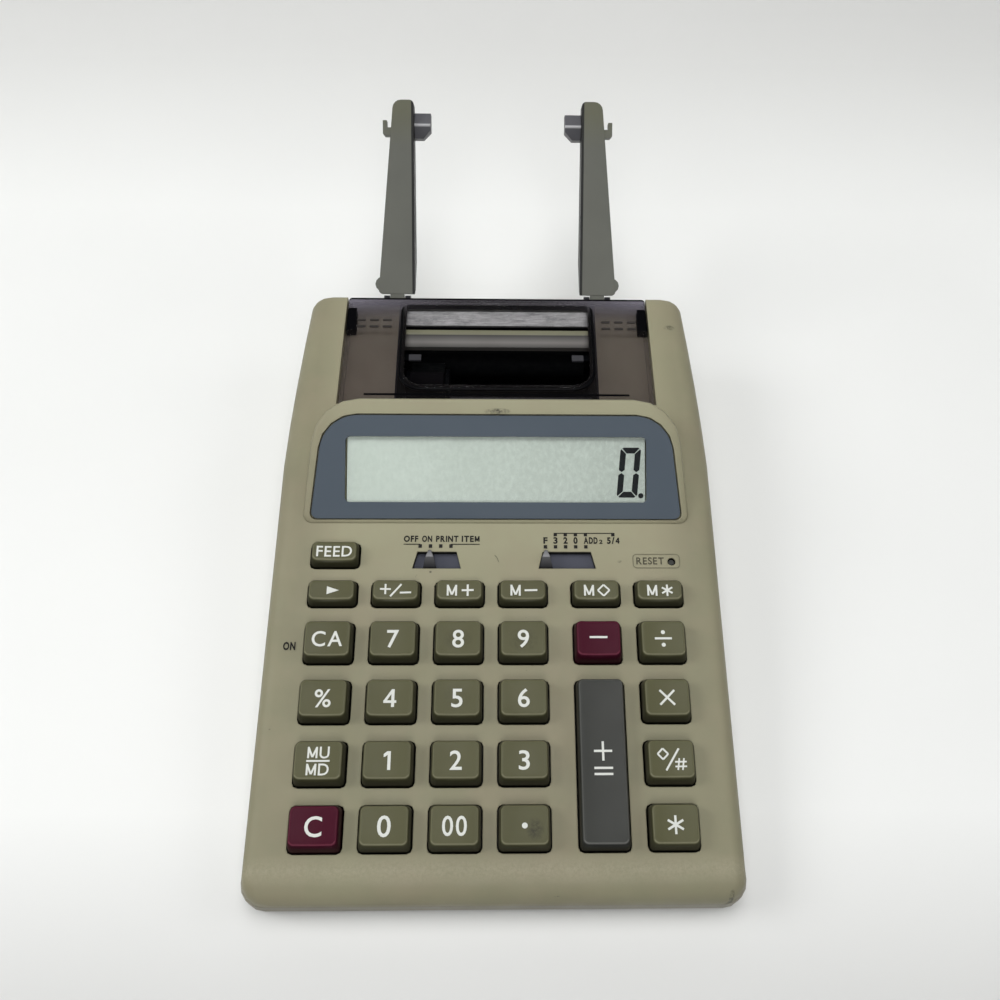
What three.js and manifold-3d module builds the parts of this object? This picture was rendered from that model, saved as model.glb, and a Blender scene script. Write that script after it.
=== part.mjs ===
// Desk calculator with a built-in paper-roll printer.
// Millimetres, +X to the user's right, +Y to the rear, +Z up.
// The origin is the middle of the footprint, on the table.
// Shapes are laid out in a drawing frame: Y = 0 at the front edge of the lowest key row, Z = 0 on the table.

import * as THREE from 'three';
import { mergeVertices } from 'three/addons/utils/BufferGeometryUtils.js';
import Module from 'manifold-3d';

// General allowances
const gap = 0.3; // between pieces that touch
const overrun = 3; // how far a cutter reaches past what it cuts
const bite = 0.5; // how far two joined solids run into each other
const faceStep = 0.1; // keeps two joined faces out of one plane
const leastRadius = 0.5; // of a corner drawn in by a wall
const weldDistance = 0.0001;

// Paper
const paperHalfWidth = 29;
const armSideGap = 0.6; // between the paper roll and each arm
const platenEndMargin = 2; // past the paper's edge
const inletEndMargin = 2;
const windowCutEndMargin = 2.4;
const frameEndGap = 2.9; // between the platen's end and the printer's side plate
const wellSideMargin = 0.1; // from the inside of a side plate to the side of the printer well
const carriageEndGap = 2.5; // between the carriage at rest and the side plate

// Case
const caseWidth = 139.9;
const rearDrawIn = 3.6; // of each side at the rear
const caseFrontY = -11.5;
const narrowingStartY = 118; // the sides draw in towards the rear from here
const caseWall = 2.2;
const caseFloorZ = 2.2;
const seamZ = 8.8;
const bottomEdgeRadius = 1.3;
const panelSlopeDeg = 8.5;
const panelFrontZ = 18.5;
const wingSlopeDeg = 4.3;
const wingStartY = 118;
const lipLength = 9.5;
const lipDrop = 5.8;
const frontCornerRadius = 6.5;
const rearCornerRadius = 3;
const rearEdgeRadius = 1.2;
const sideEdgeRadius = 6;
const sideDraft = 1.2;
const screwPostRadius = 2.6;
const screwBoreRadius = 1.1;
const screwPostSideMargin = 7.5;
const screwPostYs = [24, 72, 134];
const screwPostHeadroom = 6;

// Keyboard
const keyboardSideMargin = 13.4; // from the outermost wells to the sides of the case
const operatorGap = 3; // extra space before the two right-hand columns
const digitRib = 3.9; // between two wells, side by side
const operatorRib = 4.3;
const functionRib = 3.7;
const keyPitchY = 17.4;
const rowRib = 4.5; // between two rows of wells
const functionWellDepth = 8.5;
const feedRib = 3.9; // between the function row and the feed key's well
const wellCornerRadius = 1.6;
const keyClearance = 0.45;
const keyHeight = 4.5;
const functionKeyHeight = 3.5;
const keyTravel = 2;
const keyTopFrontInset = 2;
const keyTopRearInset = 0.7;
const keyTopSideInset = 1.1;
const keyTopCornerRadius = 1.7;
const keyDishDepth = 0.35;
const keyDishInset = 1.4;
const keyFlange = 0.8;
const keyFlangeThickness = 1;
const keyStemRadius = 2;
const keyWall = 1.3;

// Rubber mat and circuit board, both parallel to the panel
const domeHeight = 2;
const domeRadius = 3.2;
const domeTopRadius = 2.4;
const matThickness = 1;
const matSideMargin = 12.5;
const boardThickness = 1.6;
const boardSideMargin = 12;
const boardFront = -2;
const boardRear = 93;
const chipSize = 14;
const chipThickness = 1.6;
const chipX = 20;
const chipV = 44;

// Slide switches and reset
const slotFront = 82.3;
const slotRear = 87.8;
const slotTaper = 1.4; // each side of a slot leans in by this towards the rear
const printSlotX = -18.2;
const printSlotWidth = 14.8;
const decimalSlotX = 21.7;
const decimalSlotWidth = 17.6;
const printKnobX = -19.5;
const decimalKnobX = 15.6;
const knobWidth = 4;
const knobRearWidth = 2;
const knobTipWidth = 1;
const knobHeight = 2;
const knobDepthInSlot = 1.4;
const knobStemWidth = 1.2;
const knobStemLength = 3.4;
const switchPlateThickness = 1.2;
const switchPlateMargin = 2.5;
const switchPlateFrontMargin = 1.2;
const switchSlitWidth = 2;
const resetSideMargin = 16.15;
const resetV = 84.6;
const resetHoleRadius = 1.25;
const resetButtonRadius = 0.9;
const resetRecess = 0.8;
const resetFlangeRadius = 2.2;
const resetFlangeThickness = 1;

// Display hood, drawn in the plane of the display
const displaySlopeDeg = 29;
const hoodFrontY = 96;
const hoodRise = 0.6;
const windowSideMargin = 11.95;
const windowTaper = 3.6; // each side of the window leans in by this towards its top
const windowBottomS = 0.9;
const windowTopS = 34;
const windowTopRadius = 12;
const windowBottomRadius = 2;
const windowThickness = 1.2;
const windowRecess = 0.3;
const hoodRimSide = 2.3;
const hoodRimBottom = 1.3;
const hoodRimTop = 5;
const hoodTopRadius = 15;
const hoodBottomRadius = 3;
const hoodEdgeRadius = 1.4;
const hoodDepth = 24;
const hoodDraft = 1.5;
const lcdSideMargin = 11; // from the window's lower corners
const lcdBottomS = 6;
const lcdTopS = 27.6;
const lcdBelowWindow = 0.5;
const lcdFrame = 2;
const lcdFrameThickness = 2;

// Printer bay and smoked cover, drawn in the plane of the wing tops
const baySideMargin = 17.05;
const bayTaper = 0.6; // each side of the bay leans in by this towards the rear
const bayFrontY = 139.2;
const bayLength = 45.2;
const bayDepth = 3.4;
const bayWall = 2;
const printerWellFromBay = 3.8; // each "from bay" is a distance behind the bay's front edge
const coverClearance = 0.4;
const coverThickness = 1.8;
const coverSkirt = 1.2;
const coverSkirtDrop = 3;
const coverCornerRadius = 1;
const coverEdgeChamfer = 0.6;
const windowCutFrontFromBay = 7.4;
const windowCutRearFromBay = 41;
const windowCutFrontRadius = 6;
const windowCutRearRadius = 1;
const windowRim = 1;
const windowRimHeight = 0.5;
const notchInset = 0.3; // from the side of the bay at its rear
const notchWidth = 3.1;
const notchFrontFromBay = 30.8;
const notchRearFromBay = 40;
const coverTabLength = 5.4;
const inletSillZ = 29.5;

// Paper-roll arms. u runs along an arm from its pivot, n stands off its front face.
const armLeanDeg = 39.6;
const armPivotReach = 5; // behind the case
const armPivotZ = 32.9;
const armLength = 69.9;
const armStart = 2.9;
const armBaseWidth = 13;
const armTipWidth = 7.2;
const armTipRound = 5;
const armTipOuterRadius = 3;
const armTipInnerRadius = 1.5;
const armTipStep = 1.25;
const armFaceOffset = 1.56; // front face in front of the pivot axis
const armFaceThickness = 1.8;
const armWallThickness = 1.3;
const armDepth = 9.5;
const armBaseDepth = 3.4;
const armTipDepth = 6.5;
const armDepthRamp = 12;
const armRimDepth = 4;
const armRimThickness = 1.1;
const knuckleRadius = 2.3;
const knuckleInset = 3.8; // from the arm's inner side
const knuckleLength = 5;
const trunnionRadius = 1.2;
const trunnionLength = 1.8;
const lugThickness = 1.9;
const lugRootDrop = 7;
const lugFlat = 1.1;
const lugBoreRadius = 1.5;
const hubReach = 5.8;
const hubTopFromTip = 3.7;
const hubRidgeFromTip = 8.2;
const hubBottomFromTip = 12.3;
const hubRidgeDepth = 1.2;
const hubShoulderDepth = 3.6;
const hubBackDepth = 7.4;
const hubChamfer = 2.6;
const hookReach = 2.6;
const hookTopFromTip = 7;
const hookNotchFromTip = 9.4;
const hookBottomFromTip = 12.2;
const hookLip = 1.4;
const hookCorner = 0.7;
const hookThickness = 3;
const bumpU = 6.3;
const bumpRadius = 2.6;
const bumpReach = 1.4;
const bumpThickness = 2.4;

// Printer mechanism
const frameWall = 2.1;
const frameTopZ = 32.4;
const frameBottomZ = 5.2;
const frameFloor = 2;
const frameFrontFromBay = 6.8;
const frameRearFromBay = 41.2;
const frameCrossWall = 2;
const frameCrossTopZ = 26;
const frameRearTopZ = 17.5;
const motorTongueReach = 14.7; // in front of the bay
const motorTongueTopZ = 26;
const platenFromBay = 32.3;
const platenZ = 20;
const platenRadius = 5;
const shaftRadius = 1.5;
const bearingClearance = 0.25;
const gearThickness = 2.4;
const gearModule = 0.9;
const gearBacklash = 0.35; // added to the spacing of two gear centres
const platenTeeth = 16;
const idlerTeeth = 26;
const pinionTeeth = 10;
const toothTipShare = 0.2; // of the tooth pitch, at the tip
const toothRootShare = 0.4; // of the tooth pitch, at the root
const addendumShare = 0.9; // of the module
const dedendumShare = 1.15; // of the module
const idlerZ = 18;
const pinionZ = 16;
const idlerAxleRadius = 1.3;
const motorRadius = 9;
const motorLength = 24;
const motorShaftRadius = 1;
const motorBossRadius = 3;
const motorBossLength = 1.4;
const railFromBay = 17.8;
const railZ = 17;
const railRadius = 1.5;
const saddleFront = 4.5; // from the rail's axis
const saddleRear = 3;
const saddleDrop = 3;
const saddleRise = 2.3;
const earMargin = 2; // round each spindle
const carriageHalfWidth = 7.4;
const carriageEar = 1.4;
const wheelFromBay = 22.6;
const wheelZ = 24.4;
const wheelRadius = 5;
const wheelAxleRadius = 1;
const inkFromBay = 14.6;
const inkZ = 30;
const inkRadius = 4.4;
const inkAxleRadius = 0.9;
const axleClearance = 0.3;
const guideThickness = 0.8;
const guideLowFromBay = 37.1;
const guideLowZ = 35.1;
const guideHighFromBay = 41.2;
const guideHighZ = 37.9;
const guideEarDropZ = 27;
const guideEarThickness = 0.8;
const tearBarRearFromBay = 34.4;
const tearBarFrontFromBay = 29;
const tearBarTopZ = 36.1;
const tearBarEdge = 1.6;
const tearBarBottomZ = 31.2;
const tearBarLipZ = 33;

// Battery bay, underside and feet
const batteryBayGap = 25.2; // between the battery bay and the printer bay
const batteryDepth = 30;
const batterySideMargin = 18.95;
const batteryDoorThickness = 2;
const batteryTab = 2;
const batteryTabWidth = 12;
const batteryTabThickness = 1;
const batteryTabInset = 19; // from the bay's sides
const batteryWallZ = 17;
const batteryWallThickness = 1.4;
const contactThickness = 0.5;
const contactHeight = 11;
const contactSpringRadius = 4.2;
const contactSpringTip = 2;
const contactSpringShares = [0.25, 0.75]; // of the bay's depth from front to rear
const contactSpringLength = 6;
const footRadius = 5;
const footEdge = 0.6;
const footSideMargin = 16.95;
const footFrontY = 6;
const footRearMargin = 16.4;
const footRecess = 0.6;

// Counts of facets
const cornerSteps = 2;
const edgeSteps = 4;
const roundSteps = 24;
const smallRoundSteps = 12;
const hiddenRoundSteps = 8;

const { sin, cos, tan, sqrt, PI, min, max } = Math;

// Places that follow from the arms' length
const hubTopU = armLength - hubTopFromTip;
const hubRidgeU = armLength - hubRidgeFromTip;
const hubBottomU = armLength - hubBottomFromTip;
const hookTopU = armLength - hookTopFromTip;
const hookNotchU = armLength - hookNotchFromTip;
const hookBottomU = armLength - hookBottomFromTip;

// Places that follow from the front of the printer bay
const caseRearY = bayFrontY + bayLength;
const printerWellFrontY = bayFrontY + printerWellFromBay;
const windowCutFrontY = bayFrontY + windowCutFrontFromBay;
const windowCutRearY = bayFrontY + windowCutRearFromBay;
const notchFrontY = bayFrontY + notchFrontFromBay;
const notchRearY = bayFrontY + notchRearFromBay;
const armPivotY = caseRearY + armPivotReach;
const frameFrontY = bayFrontY + frameFrontFromBay;
const frameRearY = bayFrontY + frameRearFromBay;
const motorTongueFrontY = bayFrontY - motorTongueReach;
const platenY = bayFrontY + platenFromBay;
const railY = bayFrontY + railFromBay;
const wheelY = bayFrontY + wheelFromBay;
const inkY = bayFrontY + inkFromBay;
const guideLowY = bayFrontY + guideLowFromBay;
const guideHighY = bayFrontY + guideHighFromBay;
const tearBarRearY = bayFrontY + tearBarRearFromBay;
const tearBarFrontY = bayFrontY + tearBarFrontFromBay;
const batteryRearY = bayFrontY - batteryBayGap;
const batteryFrontY = batteryRearY - batteryDepth;
const footRearY = caseRearY - footRearMargin;

// Widths that follow from the paper
const armInnerX = paperHalfWidth + armSideGap;
const knuckleInnerX = armInnerX + knuckleInset;
const knuckleOuterX = knuckleInnerX + knuckleLength;
const platenHalfLength = paperHalfWidth + platenEndMargin;
const inletHalfWidth = paperHalfWidth + inletEndMargin;
const windowCutHalf = paperHalfWidth + windowCutEndMargin;
const frameInner = platenHalfLength + frameEndGap;
const printerWellHalf = frameInner + wellSideMargin;
const carriageRestX = -frameInner + carriageEndGap + carriageHalfWidth;

// Widths that follow from the case's width
const caseHalf = caseWidth / 2;
const screwPostX = caseHalf - screwPostSideMargin;
const matHalfWidth = caseHalf - matSideMargin;
const boardHalfWidth = caseHalf - boardSideMargin;
const resetX = caseHalf - resetSideMargin;
const windowBottomHalf = caseHalf - windowSideMargin;
const windowTopHalf = windowBottomHalf - windowTaper;
const lcdHalfWidth = windowBottomHalf - lcdSideMargin;
const bayHalfFront = caseHalf - baySideMargin;
const bayHalfRear = bayHalfFront - bayTaper;
const notchToX = bayHalfRear - notchInset;
const notchFromX = notchToX - notchWidth;
const batteryHalf = caseHalf - batterySideMargin;
const batteryTabX = batteryHalf - batteryTabInset;
const footX = caseHalf - footSideMargin;

const radians = (degrees) => (degrees * PI) / 180;
const quarterTurn = (steps) => Array.from({ length: steps + 1 }, (_, k) => ((k / steps) * PI) / 2);

const wasm = await Module();
wasm.setup();

// Solids

function solidOf(geometry) {
  const bare = geometry.clone();
  bare.deleteAttribute('normal');
  bare.deleteAttribute('uv');
  const merged = mergeVertices(bare, weldDistance);
  return new wasm.Manifold(
    new wasm.Mesh({
      numProp: 3,
      vertProperties: Float32Array.from(merged.attributes.position.array),
      triVerts: Uint32Array.from(merged.index.array),
    }),
  );
}

function geometryOf(solid) {
  const mesh = solid.getMesh();
  const geometry = new THREE.BufferGeometry();
  geometry.setAttribute('position', new THREE.BufferAttribute(mesh.vertProperties, 3));
  geometry.setIndex(new THREE.BufferAttribute(mesh.triVerts, 1));
  geometry.computeVertexNormals();
  return geometry;
}

const mirrorX = new THREE.Matrix4().makeScale(-1, 1, 1);
const moved = (solid, matrix) => solid.transform(matrix.elements);
const cut = (solid, ...tools) => tools.reduce((rest, tool) => rest.subtract(tool), solid);
const joined = (first, ...others) => others.reduce((whole, other) => whole.add(other), first);

function box(fromX, toX, fromY, toY, fromZ, toZ) {
  const geometry = new THREE.BoxGeometry(toX - fromX, toY - fromY, toZ - fromZ);
  geometry.translate((fromX + toX) / 2, (fromY + toY) / 2, (fromZ + toZ) / 2);
  return solidOf(geometry);
}

// A cylinder or cone about a line parallel to X.
function barrel(fromX, toX, y, z, radius, steps = roundSteps, endRadius = radius) {
  const geometry = new THREE.CylinderGeometry(radius, endRadius, toX - fromX, steps);
  geometry.rotateZ(PI / 2);
  geometry.translate((fromX + toX) / 2, y, z);
  return solidOf(geometry);
}

// A cylinder or cone about a line parallel to Z.
function post(x, y, fromZ, toZ, radius, steps = roundSteps, topRadius = radius) {
  const geometry = new THREE.CylinderGeometry(topRadius, radius, toZ - fromZ, steps);
  geometry.rotateX(PI / 2);
  geometry.translate(x, y, (fromZ + toZ) / 2);
  return solidOf(geometry);
}

const shapeOf = (points) => new THREE.Shape(points.map(([a, b]) => new THREE.Vector2(a, b)));

// An outline in X and Y, carried up Z.
function prismUp(points, fromZ, toZ) {
  const geometry = new THREE.ExtrudeGeometry(shapeOf(points), { depth: toZ - fromZ, bevelEnabled: false });
  geometry.translate(0, 0, fromZ);
  return solidOf(geometry);
}

// An outline in Y and Z, carried across X.
const acrossX = new THREE.Matrix4().makeBasis(
  new THREE.Vector3(0, 1, 0),
  new THREE.Vector3(0, 0, 1),
  new THREE.Vector3(1, 0, 0),
);

function prismAcross(points, fromX, toX) {
  const geometry = new THREE.ExtrudeGeometry(shapeOf(points), { depth: toX - fromX, bevelEnabled: false });
  geometry.applyMatrix4(acrossX);
  geometry.translate(fromX, 0, 0);
  return solidOf(geometry);
}

// A closed skin over a stack of convex rings with equal numbers of points, each flat at both ends.
function loft(rings) {
  const count = rings[0].length;
  const positions = rings.flat(2);
  const indices = [];
  for (let level = 0; level + 1 < rings.length; level++) {
    for (let i = 0; i < count; i++) {
      const a = level * count + i;
      const b = level * count + ((i + 1) % count);
      indices.push(a, b, b + count, a, b + count, a + count);
    }
  }
  const last = (rings.length - 1) * count;
  for (let i = 1; i + 1 < count; i++) {
    indices.push(0, i + 1, i, last, last + i, last + i + 1);
  }
  const geometry = new THREE.BufferGeometry();
  geometry.setAttribute('position', new THREE.Float32BufferAttribute(positions, 3));
  geometry.setIndex(indices);
  return solidOf(geometry);
}

// Outlines

// Rounds each corner of a convex outline, given anticlockwise, by its own radius.
function rounded(corners, radii, steps = cornerSteps) {
  const points = [];
  corners.forEach(([x, y], i) => {
    const radius = radii[i];
    const before = corners[(i + corners.length - 1) % corners.length];
    const after = corners[(i + 1) % corners.length];
    const inward = new THREE.Vector2(before[0] - x, before[1] - y).normalize();
    const outward = new THREE.Vector2(after[0] - x, after[1] - y).normalize();
    const halfAngle = Math.acos(inward.dot(outward)) / 2;
    const centre = inward.clone().add(outward).normalize().multiplyScalar(radius / sin(halfAngle));
    const start = inward.clone().multiplyScalar(radius / tan(halfAngle)).sub(centre);
    const turn = PI - 2 * halfAngle;
    for (let k = 0; k <= steps; k++) {
      const arm = start.clone().rotateAround(new THREE.Vector2(), (turn * k) / steps);
      points.push([x + centre.x + arm.x, y + centre.y + arm.y]);
    }
  });
  return points;
}

const rectangle = (fromX, toX, fromY, toY) => [
  [fromX, fromY],
  [toX, fromY],
  [toX, toY],
  [fromX, toY],
];

const roundedRectangle = (fromX, toX, fromY, toY, radius, steps) =>
  rounded(rectangle(fromX, toX, fromY, toY), [radius, radius, radius, radius], steps);

const atHeight = (points, z) => points.map(([x, y]) => [x, y, z]);

// Frames: each maps flat work into the drawing frame.

const slopedFrame = (slopeDeg, originY, originZ) =>
  new THREE.Matrix4().makeRotationX(radians(slopeDeg)).setPosition(0, originY, originZ);

const panelZ = (y) => panelFrontZ + y * tan(radians(panelSlopeDeg));
const wingZ = (y) => panelZ(wingStartY) + (y - wingStartY) * tan(radians(wingSlopeDeg));
const panelFrame = slopedFrame(panelSlopeDeg, 0, panelFrontZ);
const displayFrame = slopedFrame(displaySlopeDeg, hoodFrontY, panelZ(hoodFrontY) + hoodRise);
const wingFrame = slopedFrame(wingSlopeDeg, wingStartY, wingZ(wingStartY));
const alongWing = (y) => (y - wingStartY) / cos(radians(wingSlopeDeg));
const armFrame = slopedFrame(armLeanDeg, armPivotY, armPivotZ);

// Case plan: half the width at a distance from the front, drawn in by an inset all round.
function halfWidthAt(y, inset) {
  const front = caseFrontY + inset;
  const rear = caseRearY - inset;
  const narrowing = max(0, (y - narrowingStartY) / (caseRearY - narrowingStartY));
  const straight = caseHalf - inset - rearDrawIn * narrowing * sqrt(narrowing);
  const frontRadius = max(frontCornerRadius - inset, caseWall);
  const rearRadius = max(rearCornerRadius - inset, caseWall);
  const intoFront = min(1, max(0, (front + frontRadius - y) / frontRadius));
  const intoRear = min(1, max(0, (y - rear + rearRadius) / rearRadius));
  const frontCut = frontRadius * (1 - sqrt(1 - intoFront * intoFront));
  const rearCut = rearRadius * (1 - sqrt(1 - intoRear * intoRear));
  return straight - frontCut - rearCut;
}

// Places along the case where its section changes. The ends are closely spaced, for their round corners.
function stations(inset) {
  const front = caseFrontY + inset;
  const rear = caseRearY - inset;
  const frontRadius = frontCornerRadius - inset;
  const rearRadius = rearCornerRadius - inset;
  const turns = quarterTurn(edgeSteps);
  const frontYs = turns.map((t) => front + frontRadius * (1 - cos(t)));
  const rearYs = turns.map((t) => rear - rearRadius * (1 - sin(t)));
  const middle = Array.from({ length: edgeSteps }, (_, k) => k / edgeSteps);
  const narrowingYs = middle.map((share) => narrowingStartY + (rearYs[0] - narrowingStartY) * share);
  return [...frontYs, ...narrowingYs, ...rearYs];
}

// Height of the top skin: a rounded front lip, the sloping panel, flatter wings and a rounded rear edge.
function skinZ(y, inset) {
  const top = (y < wingStartY ? panelZ(y) : wingZ(y)) - inset;
  const length = max(lipLength - inset, caseWall);
  const drop = max(lipDrop - inset, caseWall);
  const intoLip = min(1, max(0, (caseFrontY + inset + length - y) / length));
  const rearRadius = max(rearEdgeRadius - inset, leastRadius);
  const intoRear = min(1, max(0, (y - caseRearY + inset + rearRadius) / rearRadius));
  const lipCut = drop * (1 - sqrt(1 - intoLip * intoLip));
  const rearCut = rearRadius * (1 - sqrt(1 - intoRear * intoRear));
  return top - lipCut - rearCut;
}

// One section of the case across X: upright sides with draft, and a rounded top edge.
function caseSection(y, inset, bottomZ) {
  const half = halfWidthAt(y, inset);
  const top = skinZ(y, inset);
  const radius = min(sideEdgeRadius - inset / 2, (top - seamZ) / 2);
  const topHalf = half - sideDraft;
  const right = quarterTurn(edgeSteps).map((t) => [
    topHalf - radius + radius * sin(t),
    y,
    top - radius + radius * cos(t),
  ]);
  const left = right.map(([x, , z]) => [-x, y, z]).reverse();
  return [...right, [half, y, bottomZ], [-half, y, bottomZ], ...left];
}

const caseSolid = (inset, bottomZ) => loft(stations(inset).map((y) => caseSection(y, inset, bottomZ)));

// Display hood outline in its own plane: X across, s up the slope.
function hoodOutline(outset, topOutset, bottomOutset, topRadius, bottomRadius) {
  const corners = [
    [-windowBottomHalf - outset, windowBottomS - bottomOutset],
    [windowBottomHalf + outset, windowBottomS - bottomOutset],
    [windowTopHalf + outset, windowTopS + topOutset],
    [-windowTopHalf - outset, windowTopS + topOutset],
  ];
  return rounded(corners, [bottomRadius, bottomRadius, topRadius, topRadius], edgeSteps);
}

// The hood is a stack of outlines: its face, a rounded edge and walls that lean out a little as they go down.
// The hollow inside it is the same stack, drawn in by the wall and sunk below the window's seat.
const windowFloor = -windowRecess - windowThickness - gap;
const hoodCeiling = windowFloor - caseWall;

function hoodSolid(inset, sink) {
  const ring = (extra, depth) => {
    const spread = extra - inset;
    const outline = hoodOutline(
      hoodRimSide + spread,
      hoodRimTop + spread,
      hoodRimBottom + spread,
      hoodTopRadius + spread,
      max(hoodBottomRadius + spread, leastRadius),
    );
    return atHeight(outline, sink - depth);
  };
  const edge = quarterTurn(cornerSteps)
    .map((t) => ring(hoodEdgeRadius * (sin(t) - 1), hoodEdgeRadius * (1 - cos(t))))
    .reverse();
  return moved(loft([ring(hoodDraft, hoodDepth), ...edge]), displayFrame);
}

// Keys

const columns = 6;
const operatorColumn = 4; // the first of the two right-hand columns
const functionRow = 4; // above four rows of full-size keys
const feedRow = 5;
const keyboardWidth = caseWidth - 2 * keyboardSideMargin;
const keyPitchX = (keyboardWidth - operatorGap + digitRib) / columns;
const digitWellWidth = keyPitchX - digitRib;
const digitWellDepth = keyPitchY - rowRib;
const operatorWellWidth = keyPitchX - operatorRib;
const functionWellWidth = keyPitchX - functionRib;
const feedRowStep = functionWellDepth + feedRib;
const keyboardSpan = (columns - 1) * keyPitchX + operatorGap;
const columnX = (column) =>
  column * keyPitchX + (column < operatorColumn ? 0 : operatorGap) - keyboardSpan / 2;
const rowV = (row) => (row < feedRow ? row * keyPitchY : functionRow * keyPitchY + feedRowStep);
// Colour, roughness and metalness
const finishes = {
  case: [0xa9a58c, 0.6, 0],
  base: [0xb0ac94, 0.6, 0],
  oliveKey: [0x67634c, 0.5, 0],
  maroonKey: [0x571c30, 0.5, 0],
  greyKey: [0x565553, 0.5, 0],
  arm: [0x70706a, 0.55, 0],
  smoked: [0x3b3436, 0.15, 0],
  border: [0x56616d, 0.3, 0],
  lcd: [0xb9c2b2, 0.4, 0],
  blackPlastic: [0x1c1c1e, 0.6, 0],
  blackRubber: [0x262626, 0.9, 0],
  greyRubber: [0x3a3a3a, 0.9, 0],
  gear: [0xd8d4c6, 0.6, 0],
  ink: [0x2a1a3a, 0.9, 0],
  board: [0x2f5b3c, 0.5, 0],
  oliveBar: [0x7e7c68, 0.5, 0],
  steel: [0x9a9a9c, 0.3, 1],
  guide: [0x8d8b90, 0.35, 1],
};

// Name, column, row and finish. Columns count from the left and rows from the front.
const keys = [
  ['key_clear', 0, 0, 'maroonKey'],
  ['key_0', 1, 0, 'oliveKey'],
  ['key_00', 2, 0, 'oliveKey'],
  ['key_point', 3, 0, 'oliveKey'],
  ['key_total', 5, 0, 'oliveKey'],
  ['key_markup', 0, 1, 'oliveKey'],
  ['key_1', 1, 1, 'oliveKey'],
  ['key_2', 2, 1, 'oliveKey'],
  ['key_3', 3, 1, 'oliveKey'],
  ['key_subtotal', 5, 1, 'oliveKey'],
  ['key_percent', 0, 2, 'oliveKey'],
  ['key_4', 1, 2, 'oliveKey'],
  ['key_5', 2, 2, 'oliveKey'],
  ['key_6', 3, 2, 'oliveKey'],
  ['key_multiply', 5, 2, 'oliveKey'],
  ['key_clear_all', 0, 3, 'oliveKey'],
  ['key_7', 1, 3, 'oliveKey'],
  ['key_8', 2, 3, 'oliveKey'],
  ['key_9', 3, 3, 'oliveKey'],
  ['key_minus', 4, 3, 'maroonKey'],
  ['key_divide', 5, 3, 'oliveKey'],
  ['key_shift', 0, 4, 'oliveKey'],
  ['key_sign', 1, 4, 'oliveKey'],
  ['key_memory_plus', 2, 4, 'oliveKey'],
  ['key_memory_minus', 3, 4, 'oliveKey'],
  ['key_memory_subtotal', 4, 4, 'oliveKey'],
  ['key_memory_total', 5, 4, 'oliveKey'],
  ['key_feed', 0, 5, 'oliveKey'],
  ['key_plus', 4, 0, 'greyKey'],
].map(([name, column, row, finish]) => {
  const small = row >= functionRow;
  const wide = column < operatorColumn ? digitWellWidth : operatorWellWidth;
  const tall = finish === 'greyKey' ? 2 * keyPitchY : 0;
  return {
    name,
    finish,
    x: columnX(column),
    front: rowV(row),
    width: small ? functionWellWidth : wide,
    depth: small ? functionWellDepth : digitWellDepth + tall,
    height: small ? functionKeyHeight : keyHeight,
  };
});

const wellOutline = (key, outset) =>
  roundedRectangle(
    key.x - key.width / 2 - outset,
    key.x + key.width / 2 + outset,
    key.front - outset,
    key.front + key.depth + outset,
    max(wellCornerRadius + outset, leastRadius),
  );

const flangeTop = -caseWall - gap;
const flangeBottom = flangeTop - keyFlangeThickness;
const domeTop = flangeBottom - keyTravel - gap;
const matTop = domeTop - domeHeight;
const stemBottom = domeTop + gap;

// A hollow cap with a sloping front and a dished top. A flange holds it in, and a stem reaches the mat.
function keySolid(key) {
  const topRing = (inset, height) =>
    atHeight(
      roundedRectangle(
        key.x - key.width / 2 + keyTopSideInset + inset,
        key.x + key.width / 2 - keyTopSideInset - inset,
        key.front + keyTopFrontInset + inset,
        key.front + key.depth - keyTopRearInset - inset,
        keyTopCornerRadius,
      ),
      height,
    );
  const skirt = wellOutline(key, -keyClearance);
  const flange = wellOutline(key, keyFlange);
  const cap = loft([
    atHeight(flange, flangeBottom),
    atHeight(flange, flangeTop),
    atHeight(skirt, flangeTop),
    atHeight(skirt, 0),
    topRing(0, key.height),
    topRing(keyDishInset, key.height - keyDishDepth),
  ]);
  const hollow = prismUp(
    rectangle(
      key.x - key.width / 2 + keyTopSideInset + keyWall,
      key.x + key.width / 2 - keyTopSideInset - keyWall,
      key.front + keyTopFrontInset + keyWall,
      key.front + key.depth - keyTopRearInset - keyWall,
    ),
    flangeBottom - overrun,
    key.height - keyDishDepth - keyWall,
  );
  const stem = post(
    key.x,
    key.front + key.depth / 2,
    stemBottom,
    key.height - keyDishDepth - keyWall + bite,
    keyStemRadius,
    hiddenRoundSteps,
  );
  return moved(joined(cut(cap, hollow), stem), panelFrame);
}

// Slide switches

const printSlot = { centre: printSlotX, width: printSlotWidth };
const decimalSlot = { centre: decimalSlotX, width: decimalSlotWidth };
const slotOutline = ({ centre, width }) => [
  [centre - width / 2, slotFront],
  [centre + width / 2, slotFront],
  [centre + width / 2 - slotTaper, slotRear],
  [centre - width / 2 + slotTaper, slotRear],
];
const slitV = (slotFront + slotRear) / 2;
const switchPlateTop = flangeTop;
const switchPlateBottom = switchPlateTop - switchPlateThickness;

function knobSolid(x) {
  const wedge = (width, tipWidth, height) => [
    [x - width / 2, slotFront + gap, height],
    [x + width / 2, slotFront + gap, height],
    [x + tipWidth / 2, slotRear - gap, height],
    [x - tipWidth / 2, slotRear - gap, height],
  ];
  const body = loft([
    wedge(knobWidth, knobRearWidth, -knobDepthInSlot),
    wedge(knobWidth, knobRearWidth, 0),
    wedge(knobTipWidth, knobTipWidth, knobHeight),
  ]);
  const stem = box(
    x - knobStemWidth,
    x + knobStemWidth,
    slitV - knobStemWidth / 2,
    slitV + knobStemWidth / 2,
    -knobDepthInSlot - knobStemLength,
    -knobDepthInSlot + bite,
  );
  return moved(joined(body, stem), panelFrame);
}

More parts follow.
